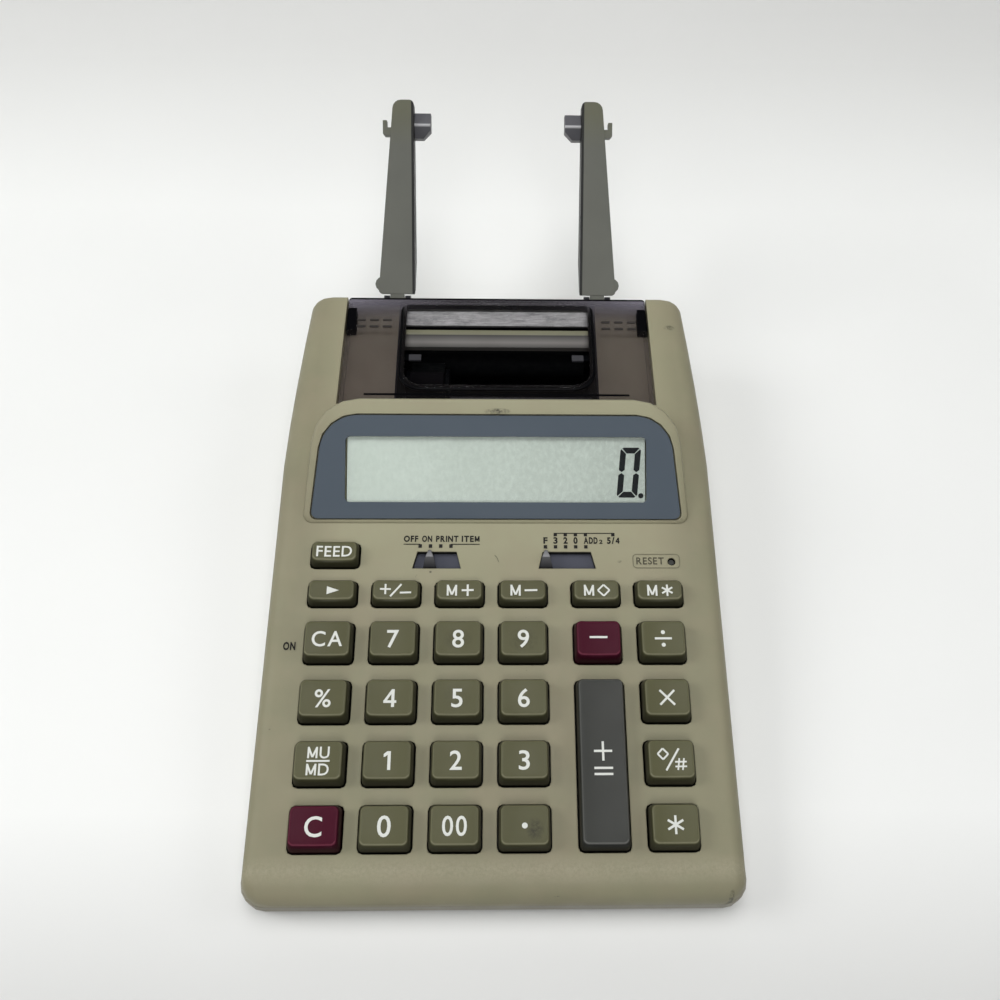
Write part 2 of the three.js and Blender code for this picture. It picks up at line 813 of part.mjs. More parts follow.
function switchPlateSolid() {
  const plate = box(
    printSlot.centre - printSlot.width / 2 - switchPlateMargin,
    decimalSlot.centre + decimalSlot.width / 2 + switchPlateMargin,
    slotFront - switchPlateFrontMargin,
    slotRear + switchPlateMargin,
    switchPlateBottom,
    switchPlateTop,
  );
  const slits = [printSlot, decimalSlot].map(({ centre, width }) =>
    box(
      centre - width / 2 + slotTaper / 2,
      centre + width / 2 - slotTaper / 2,
      slitV - switchSlitWidth / 2,
      slitV + switchSlitWidth / 2,
      switchPlateBottom - overrun,
      switchPlateTop + overrun,
    ),
  );
  return moved(cut(plate, ...slits), panelFrame);
}

function resetSolid() {
  const stem = post(resetX, resetV, stemBottom, -resetRecess, resetButtonRadius, smallRoundSteps);
  const flange = post(
    resetX,
    resetV,
    flangeTop - resetFlangeThickness,
    flangeTop,
    resetFlangeRadius,
    smallRoundSteps,
  );
  return moved(joined(stem, flange), panelFrame);
}

// Display

function windowSolid() {
  const outline = hoodOutline(-gap, -gap, -gap, windowTopRadius - gap, windowBottomRadius - gap);
  return moved(prismUp(outline, windowFloor + gap, -windowRecess), displayFrame);
}

function lcdSolid() {
  const glass = box(
    -lcdHalfWidth + gap,
    lcdHalfWidth - gap,
    lcdBottomS + gap,
    lcdTopS - gap,
    hoodCeiling - lcdFrame,
    windowFloor - lcdBelowWindow,
  );
  const rimTop = hoodCeiling - gap;
  const frame = box(
    -lcdHalfWidth - lcdFrame,
    lcdHalfWidth + lcdFrame,
    lcdBottomS - lcdFrame,
    lcdTopS + lcdFrame,
    rimTop - lcdFrameThickness,
    rimTop,
  );
  return moved(joined(glass, frame), displayFrame);
}

// Printer bay and cover

const bayOutline = (inset, frontY, rearY) => {
  const front = alongWing(frontY);
  const rear = alongWing(rearY);
  return [
    [-bayHalfFront + inset, front],
    [bayHalfFront - inset, front],
    [bayHalfRear - inset, rear],
    [-bayHalfRear + inset, rear],
  ];
};

// Both sides of a block that stands or is cut near the deck's outer edge.
function deckBlocks(inset, fromN, toN) {
  const front = alongWing(notchFrontY) + inset;
  const rear = alongWing(notchRearY) - inset;
  const right = box(notchFromX + inset, notchToX - inset, front, rear, fromN, toN);
  return [right, moved(right, mirrorX)];
}

// A smoked plate with a skirt, a raised rim round its window and a tab down into each notch of the deck.
function coverSolid() {
  const plan = (inset) =>
    rounded(
      bayOutline(
        coverClearance + inset,
        bayFrontY + coverClearance + inset,
        caseRearY - gap - inset,
      ),
      [coverCornerRadius, coverCornerRadius, coverCornerRadius, coverCornerRadius],
    );
  const shell = loft([
    atHeight(plan(0), -coverSkirtDrop),
    atHeight(plan(0), -coverEdgeChamfer),
    atHeight(plan(coverEdgeChamfer), 0),
  ]);
  const hollow = prismUp(plan(coverSkirt), -coverSkirtDrop - overrun, -coverThickness);
  const windowCut = (outset) => {
    const half = windowCutHalf + outset;
    const front = alongWing(windowCutFrontY) - outset;
    const rear = alongWing(windowCutRearY) + outset;
    const frontRadius = windowCutFrontRadius + outset;
    const rearRadius = windowCutRearRadius + outset;
    const radii = [frontRadius, frontRadius, rearRadius, rearRadius];
    return rounded(rectangle(-half, half, front, rear), radii, edgeSteps);
  };
  const rim = prismUp(windowCut(windowRim), -coverThickness + bite, windowRimHeight);
  const opening = prismUp(windowCut(0), -coverSkirtDrop - overrun, windowRimHeight + overrun);
  const tabs = deckBlocks(coverClearance, -coverThickness - coverTabLength, -coverThickness + bite);
  return moved(cut(joined(cut(shell, hollow), rim, ...tabs), opening), wingFrame);
}

// Paper-roll arms, drawn for the right-hand side and mirrored for the left

const rightLugXs = [
  [knuckleInnerX - gap - lugThickness, knuckleInnerX - gap],
  [knuckleOuterX + gap, knuckleOuterX + gap + lugThickness],
];

function lugSolids() {
  const profile = [
    [caseRearY - bite, armPivotZ - lugRootDrop],
    [caseRearY + bite, armPivotZ - lugRootDrop],
    [armPivotY + knuckleRadius, armPivotZ - lugFlat],
    [armPivotY + knuckleRadius, armPivotZ + lugFlat],
    [armPivotY + lugFlat, armPivotZ + knuckleRadius],
    [armPivotY - lugFlat, armPivotZ + knuckleRadius],
    [armPivotY - knuckleRadius, armPivotZ + lugFlat],
    [armPivotY - knuckleRadius, armPivotZ - knuckleRadius],
    [caseRearY - bite, armPivotZ - knuckleRadius],
  ];
  const spans = rightLugXs.flatMap(([from, to]) => [
    [from, to],
    [-to, -from],
  ]);
  return spans.map(([from, to]) => prismAcross(profile, from, to));
}

const lugBores = () =>
  [1, -1].map((side) => {
    const ends = [side * (armInnerX - overrun), side * (knuckleOuterX + lugThickness + overrun)];
    return barrel(min(...ends), max(...ends), armPivotY, armPivotZ, lugBoreRadius, smallRoundSteps);
  });

function armSolid() {
  const face = armFaceOffset;
  const back = face - armFaceThickness;
  const baseOuter = armInnerX + armBaseWidth;
  const tipOuter = armInnerX + armTipWidth;
  const outline = rounded(
    [
      [armInnerX, armStart],
      [baseOuter, armStart],
      [tipOuter, armLength],
      [armInnerX, armLength],
    ],
    [leastRadius, armWallThickness, armTipOuterRadius, armTipInnerRadius],
    edgeSteps,
  );
  const plate = prismUp(outline, back, face);
  const wall = prismAcross(
    [
      [armStart + armTipStep, face - armBaseDepth],
      [armStart + armDepthRamp, face - armDepth],
      [armLength - armTipRound, face - armTipDepth],
      [armLength - armTipStep, face - armTipDepth + armTipStep],
      [armLength - armTipStep, face - faceStep],
      [armStart + armTipStep, face - faceStep],
    ],
    armInnerX,
    armInnerX + armWallThickness,
  );
  const rimOutline = [
    [baseOuter - armRimThickness, armStart + armWallThickness],
    [baseOuter - faceStep, armStart + armWallThickness],
    [tipOuter - faceStep, armLength - armTipRound],
    [tipOuter - armRimThickness, armLength - armTipRound],
  ];
  const rim = prismUp(rimOutline, face - armRimDepth, back + bite);
  const knuckle = barrel(knuckleInnerX, knuckleOuterX, 0, 0, knuckleRadius, smallRoundSteps);
  const web = box(
    knuckleInnerX,
    knuckleOuterX,
    0,
    armStart + armWallThickness,
    back + faceStep,
    face - faceStep,
  );
  const trunnion = barrel(
    knuckleInnerX - trunnionLength,
    knuckleOuterX + trunnionLength,
    0,
    0,
    trunnionRadius,
    smallRoundSteps,
  );
  const hubProfile = [
    [hubBottomU, face - hubBackDepth],
    [hubTopU, face - hubBackDepth],
    [hubTopU, face - hubShoulderDepth],
    [hubRidgeU, face - hubRidgeDepth],
    [hubBottomU, face - hubShoulderDepth],
  ];
  const hubBlock = prismAcross(hubProfile, armInnerX - hubReach, armInnerX + bite);
  const hubCorner = prismUp(
    [
      [armInnerX - hubReach - overrun, hubBottomU - overrun],
      [armInnerX - hubReach + hubChamfer + overrun, hubBottomU - overrun],
      [armInnerX - hubReach - overrun, hubBottomU + hubChamfer + overrun],
    ],
    face - hubBackDepth - overrun,
    face + overrun,
  );
  const edgeAt = (u) => baseOuter + ((tipOuter - baseOuter) * (u - armStart)) / (armLength - armStart);
  const hookOuter = edgeAt(hookBottomU) + hookReach;
  const hook = prismUp(
    [
      [edgeAt(hookBottomU) - armRimThickness, hookBottomU],
      [hookOuter - hookCorner, hookBottomU],
      [hookOuter, hookBottomU + hookCorner],
      [hookOuter, hookTopU],
      [hookOuter - hookLip, hookTopU],
      [hookOuter - hookLip, hookNotchU],
      [edgeAt(hookNotchU) - armRimThickness, hookNotchU],
    ],
    face - hookThickness,
    face - faceStep,
  );
  const bumpCentre = edgeAt(bumpU) + bumpReach - bumpRadius;
  const bump = post(
    bumpCentre,
    bumpU,
    face - bumpThickness,
    face - faceStep,
    bumpRadius,
    smallRoundSteps,
  );
  return moved(
    joined(plate, wall, rim, knuckle, web, trunnion, cut(hubBlock, hubCorner), hook, bump),
    armFrame,
  );
}

// Printer mechanism

const gearX = -frameInner - frameWall - gap - gearThickness;
const pitchRadius = (teeth) => (gearModule * teeth) / 2;
const outerFrame = frameInner + frameWall;

function meshedY(fromY, fromZ, toZ, firstTeeth, secondTeeth) {
  const spacing = pitchRadius(firstTeeth) + pitchRadius(secondTeeth) + gearBacklash;
  return fromY - sqrt(spacing * spacing - (toZ - fromZ) * (toZ - fromZ));
}

const idlerY = meshedY(platenY, platenZ, idlerZ, platenTeeth, idlerTeeth);
const pinionY = meshedY(idlerY, idlerZ, pinionZ, idlerTeeth, pinionTeeth);

// Straight-sided teeth about a line parallel to X, the first of them at the start angle.
function gearSolid(y, z, teeth, boreRadius, startAngle) {
  const step = (2 * PI) / teeth;
  const tip = pitchRadius(teeth) + addendumShare * gearModule;
  const root = pitchRadius(teeth) - dedendumShare * gearModule;
  const points = [];
  for (let tooth = 0; tooth < teeth; tooth++) {
    const middle = startAngle + tooth * step;
    const corners = [
      [root, middle - (toothRootShare * step) / 2],
      [tip, middle - (toothTipShare * step) / 2],
      [tip, middle + (toothTipShare * step) / 2],
      [root, middle + (toothRootShare * step) / 2],
    ];
    corners.forEach(([radius, angle]) => points.push([y + radius * cos(angle), z + radius * sin(angle)]));
  }
  const disc = prismAcross(points, gearX, gearX + gearThickness);
  const endX = gearX + gearThickness;
  return cut(disc, barrel(gearX - overrun, endX + overrun, y, z, boreRadius, smallRoundSteps));
}

// The angle, seen along X, of the line from one centre to another.
const directionTo = (fromY, fromZ, toY, toZ) => Math.atan2(toZ - fromZ, toY - fromY);
const toIdler = directionTo(platenY, platenZ, idlerY, idlerZ);
const toPinion = directionTo(idlerY, idlerZ, pinionY, pinionZ);
// The idler's first tooth gap faces the platen gear's first tooth; the pinion's gap faces an idler tooth.
const idlerStart = toIdler + PI + PI / idlerTeeth;
const idlerPhaseAtPinion = (((toPinion - idlerStart) * idlerTeeth) / (2 * PI)) % 1;
const pinionStart = toPinion + PI + ((1 / 2 + idlerPhaseAtPinion) * 2 * PI) / pinionTeeth;

function frameSolid() {
  const rightPlate = box(frameInner, outerFrame, frameFrontY, frameRearY, frameBottomZ, frameTopZ);
  const leftPlate = prismAcross(
    [
      [motorTongueFrontY, frameBottomZ],
      [frameRearY, frameBottomZ],
      [frameRearY, frameTopZ],
      [frameFrontY, frameTopZ],
      [frameFrontY, motorTongueTopZ],
      [motorTongueFrontY, motorTongueTopZ],
    ],
    -outerFrame,
    -frameInner,
  );
  const floor = box(
    -frameInner - bite,
    frameInner + bite,
    frameFrontY + gap,
    frameRearY - gap,
    frameBottomZ + gap,
    frameBottomZ + gap + frameFloor,
  );
  const frontWall = box(
    -frameInner - bite,
    frameInner + bite,
    frameFrontY + gap,
    frameFrontY + gap + frameCrossWall,
    frameBottomZ + gap,
    frameCrossTopZ,
  );
  const rearWall = box(
    -frameInner - bite,
    frameInner + bite,
    frameRearY - gap - frameCrossWall,
    frameRearY - gap,
    frameBottomZ + gap,
    frameRearTopZ,
  );
  const idlerAxle = barrel(
    -outerFrame - gap - gearThickness - gap,
    -outerFrame + bite,
    idlerY,
    idlerZ,
    idlerAxleRadius,
    smallRoundSteps,
  );
  const through = (y, z, radius) =>
    barrel(-outerFrame - overrun, outerFrame + overrun, y, z, radius, smallRoundSteps);
  const motorHole = barrel(
    -outerFrame - overrun,
    -frameInner + overrun,
    pinionY,
    pinionZ,
    motorBossRadius + bearingClearance,
    smallRoundSteps,
  );
  return joined(
    cut(
      joined(rightPlate, leftPlate, floor, frontWall, rearWall),
      through(platenY, platenZ, shaftRadius + bearingClearance),
      through(railY, railZ, railRadius + bearingClearance),
      motorHole,
    ),
    idlerAxle,
  );
}

function motorSolid() {
  const rear = -frameInner + gap;
  return joined(
    barrel(rear, rear + motorLength, pinionY, pinionZ, motorRadius),
    barrel(rear - motorBossLength, rear + gap, pinionY, pinionZ, motorBossRadius, smallRoundSteps),
    barrel(gearX, rear, pinionY, pinionZ, motorShaftRadius, smallRoundSteps),
  );
}

const pinionSolid = () => gearSolid(pinionY, pinionZ, pinionTeeth, motorShaftRadius + gap, pinionStart);
const idlerBoreRadius = idlerAxleRadius + bearingClearance;
const idlerSolid = () => gearSolid(idlerY, idlerZ, idlerTeeth, idlerBoreRadius, idlerStart);
const platenGearSolid = () => gearSolid(platenY, platenZ, platenTeeth, shaftRadius + gap, toIdler);

function platenSolid() {
  return joined(
    barrel(-platenHalfLength, platenHalfLength, platenY, platenZ, platenRadius),
    barrel(gearX - gap, outerFrame + gap, platenY, platenZ, shaftRadius, smallRoundSteps),
  );
}

const railSolid = () => barrel(-outerFrame, outerFrame, railY, railZ, railRadius, smallRoundSteps);

function carriageSolid() {
  const left = carriageRestX - carriageHalfWidth;
  const right = carriageRestX + carriageHalfWidth;
  const earProfile = [
    [railY - saddleFront, railZ - saddleDrop],
    [railY + saddleFront, railZ - saddleDrop],
    [wheelY + earMargin, wheelZ - earMargin],
    [wheelY + earMargin, wheelZ + earMargin],
    [inkY + earMargin, inkZ + earMargin],
    [inkY - earMargin, inkZ + earMargin],
    [inkY - earMargin, inkZ - earMargin],
  ];
  const saddle = box(
    left,
    right,
    railY - saddleFront,
    railY + saddleRear,
    railZ - saddleDrop,
    railZ + saddleRise,
  );
  const through = (y, z, radius) =>
    barrel(left - overrun, right + overrun, y, z, radius, smallRoundSteps);
  return cut(
    joined(
      saddle,
      prismAcross(earProfile, left, left + carriageEar),
      prismAcross(earProfile, right - carriageEar, right),
    ),
    through(railY, railZ, railRadius + axleClearance),
    through(wheelY, wheelZ, wheelAxleRadius + axleClearance),
    through(inkY, inkZ, inkAxleRadius + axleClearance),
  );
}

function spindle(y, z, radius, axleRadius) {
  const half = carriageHalfWidth - carriageEar - axleClearance;
  return joined(
    barrel(carriageRestX - half, carriageRestX + half, y, z, radius, roundSteps),
    barrel(
      carriageRestX - carriageHalfWidth,
      carriageRestX + carriageHalfWidth,
      y,
      z,
      axleRadius,
      smallRoundSteps,
    ),
  );
}

// A bent bright plate. Paper slides up its sloping face, and two ears stand inside the printer's side plates.
function guideSolid() {
  const half = frameInner - gap;
  const slope = prismAcross(
    [
      [guideLowY, guideLowZ],
      [guideHighY, guideHighZ],
      [guideHighY, guideHighZ - guideThickness],
      [guideLowY, guideLowZ - guideThickness],
    ].reverse(),
    -half,
    half,
  );
  const ear = [
    [guideLowY + faceStep, guideLowZ - guideThickness + bite],
    [guideLowY + faceStep, guideEarDropZ],
    [guideHighY - guideThickness, guideEarDropZ],
    [guideHighY - guideThickness, guideHighZ - guideThickness],
  ];
  return joined(
    slope,
    prismAcross(ear, -half, -half + guideEarThickness),
    prismAcross(ear, half - guideEarThickness, half),
  );
}

function tearBarSolid() {
  const half = frameInner - gap;
  return prismAcross(
    [
      [tearBarFrontY, tearBarBottomZ],
      [tearBarRearY, tearBarBottomZ],
      [tearBarRearY, tearBarTopZ - gap],
      [tearBarRearY - gap, tearBarTopZ],
      [tearBarRearY - tearBarEdge, tearBarTopZ],
      [tearBarFrontY, tearBarLipZ],
    ],
    -half,
    half,
  );
}

// Top case

function topCaseSolid() {
  const shellTop = joined(caseSolid(0, seamZ - overrun), hoodSolid(0, 0));
  const bayBlock = moved(
    prismUp(
      bayOutline(-bayWall, bayFrontY - bayWall, caseRearY + overrun),
      -bayDepth - bayWall,
      hoodDepth,
    ),
    wingFrame,
  );
  const cavity = cut(
    joined(caseSolid(caseWall, seamZ - 2 * overrun), hoodSolid(caseWall, hoodCeiling)),
    bayBlock,
  );
  const below = box(-caseWidth, caseWidth, caseFrontY - overrun, caseRearY + overrun, -hoodDepth, seamZ);
  const wells = keys.map((key) => prismUp(wellOutline(key, 0), flangeTop - overrun, overrun));
  const slotOutlines = [printSlot, decimalSlot].map(slotOutline);
  const slots = slotOutlines.map((outline) => prismUp(outline, flangeTop - overrun, overrun));
  const resetHole = post(resetX, resetV, flangeTop - overrun, overrun, resetHoleRadius, smallRoundSteps);
  const panelCuts = [...wells, ...slots, resetHole].map((tool) => moved(tool, panelFrame));
  const pocketOutline = hoodOutline(0, 0, 0, windowTopRadius, windowBottomRadius);
  const windowPocket = prismUp(pocketOutline, windowFloor, overrun);
  const lcdOpening = box(
    -lcdHalfWidth,
    lcdHalfWidth,
    lcdBottomS,
    lcdTopS,
    hoodCeiling - overrun,
    windowFloor + overrun,
  );
  const hoodCuts = [windowPocket, lcdOpening].map((tool) => moved(tool, displayFrame));
  const bay = prismUp(bayOutline(0, bayFrontY, caseRearY + overrun), -bayDepth, hoodDepth);
  const wellFrontV = alongWing(printerWellFrontY);
  const wellRearV = alongWing(caseRearY - caseWall);
  const well = prismUp(
    rectangle(-printerWellHalf, printerWellHalf, wellFrontV, wellRearV),
    -bayDepth - bayWall - overrun,
    overrun,
  );
  const notches = deckBlocks(0, -bayDepth - bayWall - overrun, overrun);
  const bayCuts = [bay, well, ...notches].map((tool) => moved(tool, wingFrame));
  const inlet = box(
    -inletHalfWidth,
    inletHalfWidth,
    caseRearY - caseWall - overrun,
    caseRearY + overrun,
    inletSillZ,
    wingZ(caseRearY),
  );
  const withLugs = joined(
    cut(shellTop, cavity, below, ...panelCuts, ...hoodCuts, ...bayCuts, inlet),
    ...lugSolids(),
  );
  return cut(withLugs, ...lugBores());
}

// Bottom case: a tray with a battery opening, screw posts and shallow seats for the feet

function planRing(inset, z) {
  const ys = stations(inset);
  const right = ys.map((y) => [halfWidthAt(y, inset), y, z]);
  const left = ys.map((y) => [-halfWidthAt(y, inset), y, z]).reverse();
  return [...right, ...left];
}

const footPlaces = [
  ['foot_front_left', -footX, footFrontY],
  ['foot_front_right', footX, footFrontY],
  ['foot_rear_left', -footX, footRearY],
  ['foot_rear_right', footX, footRearY],
];

function bottomCaseSolid() {
  const top = seamZ - gap;
  const edge = quarterTurn(cornerSteps).map((t) =>
    planRing(
      bottomEdgeRadius * (1 - sin(t)),
      caseFloorZ + bottomEdgeRadius * (1 - cos(t)),
    ),
  );
  const outer = loft([...edge, planRing(0, top)]);
  const floorTop = caseFloorZ + caseWall;
  const inner = loft([planRing(caseWall, floorTop), planRing(caseWall, top + overrun)]);
  const doorway = box(
    -batteryHalf,
    batteryHalf,
    batteryFrontY,
    batteryRearY,
    caseFloorZ - overrun,
    floorTop + overrun,
  );
  const seats = footPlaces.map(([, x, y]) =>
    post(x, y, caseFloorZ - overrun, caseFloorZ + footRecess, footRadius + gap, roundSteps),
  );
  const bayWalls = cut(
    box(
      -batteryHalf - batteryWallThickness,
      batteryHalf + batteryWallThickness,
      batteryFrontY - batteryTab - batteryWallThickness - gap,
      batteryRearY + batteryWallThickness,
      floorTop - bite,
      batteryWallZ,
    ),
    box(
      -batteryHalf,
      batteryHalf,
      batteryFrontY - batteryTab - gap,
      batteryRearY,
      floorTop - caseWall,
      batteryWallZ + overrun,
    ),
  );
  const posts = screwPostYs.flatMap((y) =>
    [screwPostX, -screwPostX].map((x) =>
      cut(
        post(x, y, floorTop - bite, panelZ(y) - screwPostHeadroom, screwPostRadius, smallRoundSteps),
        post(x, y, floorTop, panelZ(y), screwBoreRadius, hiddenRoundSteps),
      ),
    ),
  );
  const tray = cut(outer, inner, doorway, ...seats);
  return joined(tray, bayWalls, ...posts);
}

function batteryDoorSolid() {
  const plate = box(
    -batteryHalf + gap,
    batteryHalf - gap,
    batteryFrontY + gap,
    batteryRearY - gap,
    caseFloorZ,
    caseFloorZ + batteryDoorThickness,
  );
  const tabBottom = caseFloorZ + caseWall + gap;
  const tabs = [-batteryTabX, batteryTabX].map((x) =>
    joined(
      box(
        x - batteryTabWidth / 2,
        x + batteryTabWidth / 2,
        batteryFrontY - batteryTab + gap,
        batteryFrontY + batteryTab,
        tabBottom,
        tabBottom + batteryTabThickness,
      ),
      box(
        x - batteryTabWidth / 2,
        x + batteryTabWidth / 2,
        batteryFrontY + gap,
        batteryFrontY + batteryTab,
        caseFloorZ + batteryDoorThickness - bite,
        tabBottom + bite,
      ),
    ),
  );
  return joined(plate, ...tabs);
}

function batteryContactSolid() {
  const face = batteryHalf - gap;
  const bottomZ = caseFloorZ + caseWall + gap;
  const plate = box(
    face - contactThickness,
    face,
    batteryFrontY + batteryTab,
    batteryRearY - batteryTab,
    bottomZ,
    bottomZ + contactHeight,
  );
  const springs = contactSpringShares.map((share) =>
    barrel(
      face - contactThickness - contactSpringLength,
      face - contactThickness + faceStep,
      batteryFrontY + share * (batteryRearY - batteryFrontY),
      bottomZ + contactHeight / 2,
      contactSpringRadius,
      smallRoundSteps,
      contactSpringTip,
    ),
  );
  return joined(plate, ...springs);
}

function footSolid(x, y) {
  const ring = (radius) =>
    Array.from({ length: smallRoundSteps }, (_, k) => {
      const angle = (2 * PI * k) / smallRoundSteps;
      return [x + radius * cos(angle), y + radius * sin(angle)];
    });
  return loft([
    atHeight(ring(footRadius - footEdge), 0),
    atHeight(ring(footRadius), footEdge),
    atHeight(ring(footRadius), caseFloorZ + footRecess - gap),
  ]);
}

// Mat and board

function matSolid() {
  const sheet = box(
    -matHalfWidth,
    matHalfWidth,
    0,
    rowV(feedRow) + functionWellDepth,
    matTop - matThickness,
    matTop,
  );
  const buttons = [...keys.map((key) => [key.x, key.front + key.depth / 2]), [resetX, resetV]];
  const domes = buttons.map(([x, v]) =>
    post(
      x,
      v,
      matTop - bite,
      domeTop,
      domeRadius,
      hiddenRoundSteps,
      domeTopRadius,
    ),
  );
  return moved(joined(sheet, ...domes), panelFrame);
}

function boardSolid() {
  const top = matTop - matThickness - gap;
  const plate = box(-boardHalfWidth, boardHalfWidth, boardFront, boardRear, top - boardThickness, top);
  const chip = box(
    chipX - chipSize / 2,
    chipX + chipSize / 2,
    chipV - chipSize / 2,
    chipV + chipSize / 2,
    top - boardThickness - chipThickness,
    top - boardThickness + bite,
  );
  return moved(joined(plate, chip), panelFrame);
}

// Assembly

const rightArm = armSolid();
const pieces = [
  ['top_case', topCaseSolid(), 'case'],
  ['bottom_case', bottomCaseSolid(), 'base'],
  ['battery_door', batteryDoorSolid(), 'base'],
  ['battery_contact', batteryContactSolid(), 'steel'],
  ['printer_cover', coverSolid(), 'smoked'],
  ['display_window', windowSolid(), 'border'],
  ['lcd_panel', lcdSolid(), 'lcd'],
  ['main_board', boardSolid(), 'board'],
  ['key_mat', matSolid(), 'greyRubber'],
  ['switch_plate', switchPlateSolid(), 'border'],
  ['print_switch_knob', knobSolid(printKnobX), 'oliveKey'],
  ['decimal_switch_knob', knobSolid(decimalKnobX), 'oliveKey'],
  ['reset_button', resetSolid(), 'greyKey'],
  ['right_paper_arm', rightArm, 'arm'],
  ['left_paper_arm', moved(rightArm, mirrorX), 'arm'],
  ['printer_frame', frameSolid(), 'blackPlastic'],
  ['printer_motor', motorSolid(), 'steel'],
  ['motor_pinion', pinionSolid(), 'gear'],
  ['idler_gear', idlerSolid(), 'gear'],
  ['platen_gear', platenGearSolid(), 'gear'],
  ['platen_roller', platenSolid(), 'blackRubber'],
  ['carriage_rail', railSolid(), 'steel'],
  ['type_carriage', carriageSolid(), 'blackPlastic'],
  ['type_wheel', spindle(wheelY, wheelZ, wheelRadius, wheelAxleRadius), 'blackRubber'],
  ['ink_roller', spindle(inkY, inkZ, inkRadius, inkAxleRadius), 'ink'],
  ['paper_guide', guideSolid(), 'guide'],
  ['tear_bar', tearBarSolid(), 'oliveBar'],
  ...footPlaces.map(([name, x, y]) => [name, footSolid(x, y), 'blackRubber']),
  ...keys.map((key) => [key.name, keySolid(key), key.finish]),
];

const calculator = new THREE.Group();
pieces.forEach(([name, solid, finish]) => {
  const [color, roughness, metalness] = finishes[finish];
  const material = new THREE.MeshStandardMaterial({ color, roughness, metalness });
  const mesh = new THREE.Mesh(geometryOf(solid), material);
  mesh.name = name;
  calculator.add(mesh);
});

// Centre the footprint on the origin.
const extent = new THREE.Box3().setFromObject(calculator);
const middle = extent.getCenter(new THREE.Vector3());
calculator.position.set(-middle.x, -middle.y, -extent.min.z);

export default calculator;
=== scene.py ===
"""Looks for the desk calculator with a built-in paper-roll printer.

The CAD frame gives every place. This script adds what shows: smooth key caps and their legends, printed
marks, the display's border, pane and figure, the cover's lip and grips, the switches' knobs and shields,
screws, two small tabs, all finishes, the table, the light and the camera.

Lengths are in millimetres until a mesh is made. The drawing frame has X = 0 in the middle of the machine,
Y = 0 at the front edge of the lowest key row and Z = 0 on the table.
"""

import math
from functools import cached_property

import bpy
import numpy as np
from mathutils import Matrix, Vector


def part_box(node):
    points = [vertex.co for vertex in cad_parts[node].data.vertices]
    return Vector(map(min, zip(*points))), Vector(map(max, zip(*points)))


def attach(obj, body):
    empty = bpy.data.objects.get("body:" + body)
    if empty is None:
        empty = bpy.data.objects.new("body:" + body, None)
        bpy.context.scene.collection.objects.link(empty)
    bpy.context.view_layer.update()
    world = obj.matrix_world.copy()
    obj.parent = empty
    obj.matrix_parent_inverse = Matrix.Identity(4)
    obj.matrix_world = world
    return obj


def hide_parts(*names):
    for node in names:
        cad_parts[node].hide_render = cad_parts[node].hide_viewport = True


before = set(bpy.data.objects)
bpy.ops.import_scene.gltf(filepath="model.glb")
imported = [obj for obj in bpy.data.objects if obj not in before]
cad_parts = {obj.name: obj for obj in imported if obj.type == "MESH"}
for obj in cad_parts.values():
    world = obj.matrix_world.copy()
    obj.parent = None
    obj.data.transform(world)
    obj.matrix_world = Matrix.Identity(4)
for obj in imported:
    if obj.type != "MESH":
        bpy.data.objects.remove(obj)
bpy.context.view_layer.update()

bl_info = {
    "name": "Printing calculator looks",
    "version": (1, 0, 0),
    "blender": (4, 5, 0),
    "location": "3D View > Sidebar > Calculator",
    "description": "Adds the visible surfaces of a desk printing calculator to its CAD frame",
    "category": "Object",
}

MM = 0.001

# Places in the drawing frame, as in the CAD source
CASE_FRONT = -11.5
PANEL_SLOPE = 8.5
PANEL_FRONT_HEIGHT = 18.5
WING_SLOPE = 4.3
WING_START = 118.0
DISPLAY_SLOPE = 29.0
HOOD_FRONT = 96.0
HOOD_RISE = 0.6
ARM_LEAN = 39.6
ARM_PIVOT = (189.4, 32.9)
ARM_INNER = 29.6
COVER_REAR = 184.1
WINDOW_HALF_WIDTH = 31.4
WINDOW_FRONT = 146.6
WINDOW_REAR = 180.2
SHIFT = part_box("top_case")[0].y / MM - CASE_FRONT  # from the drawing frame's Y to the CAD frame's

# Keyboard layout
PITCH_X = 19.0
PITCH_Y = 17.4
OPERATOR_GAP = 3.0
COLUMNS = 6
OPERATOR_COLUMN = 4
FUNCTION_ROW = 4
FEED_ROW = 5
FEED_STEP = 12.4
DIGIT_WELL = (15.1, 12.9)
OPERATOR_WELL_WIDTH = 14.7
FUNCTION_WELL = (15.3, 8.5)
ODD_FINISHES = {"key_clear": "maroon_key", "key_minus": "maroon_key", "key_plus": "grey_key"}
KEY_HEIGHT = 4.5
SMALL_KEY_HEIGHT = 3.5
FACE_SETBACK = 0.4

# Key caps: the skirt's rings, the corners, the painted shade and painted highlight of the edge's rings and
# the sizes of the top's rings. The painted highlight along the lip shows most within a short reach of the
# front edge, and fainter elsewhere.
SKIRT_HEIGHTS = (-2.4, -0.2)
CORNER_RADIUS = 1.25
CORNER_GROWTH = 0.4
WALL_BOW = 0.12
EDGE_WALL_SHADES = (0.45, 0.3, 0.1, 0.0, 0.0, 0.0)
EDGE_LIP_HIGHLIGHTS = (0.0, 0.2, 0.6, 0.5, 0.1, 0.0)
TOP_SHARES = (0.85, 0.65, 0.45, 0.25, 0.06)
FRONT_REACH = 0.6
LIP_HIGHLIGHT_ELSEWHERE = 0.45

# Legends in letters: text, height of a capital and stretch to the sides
LETTERED = {
    **{"key_" + digit: (digit, 5.1, 1.0) for digit in "124789"},
    "key_3": ("3", 5.1, 1.08),
    "key_5": ("5", 5.1, 1.05),
    "key_6": ("6", 5.1, 1.02),
    "key_0": ("0", 5.35, 1.02),
    "key_00": ("00", 5.0, 0.88),
    "key_clear": ("C", 5.15, 0.98),
    "key_percent": ("%", 4.9, 1.0),
    "key_clear_all": ("CA", 4.4, 0.95),
    "key_feed": ("FEED", 3.3, 1.0),
}

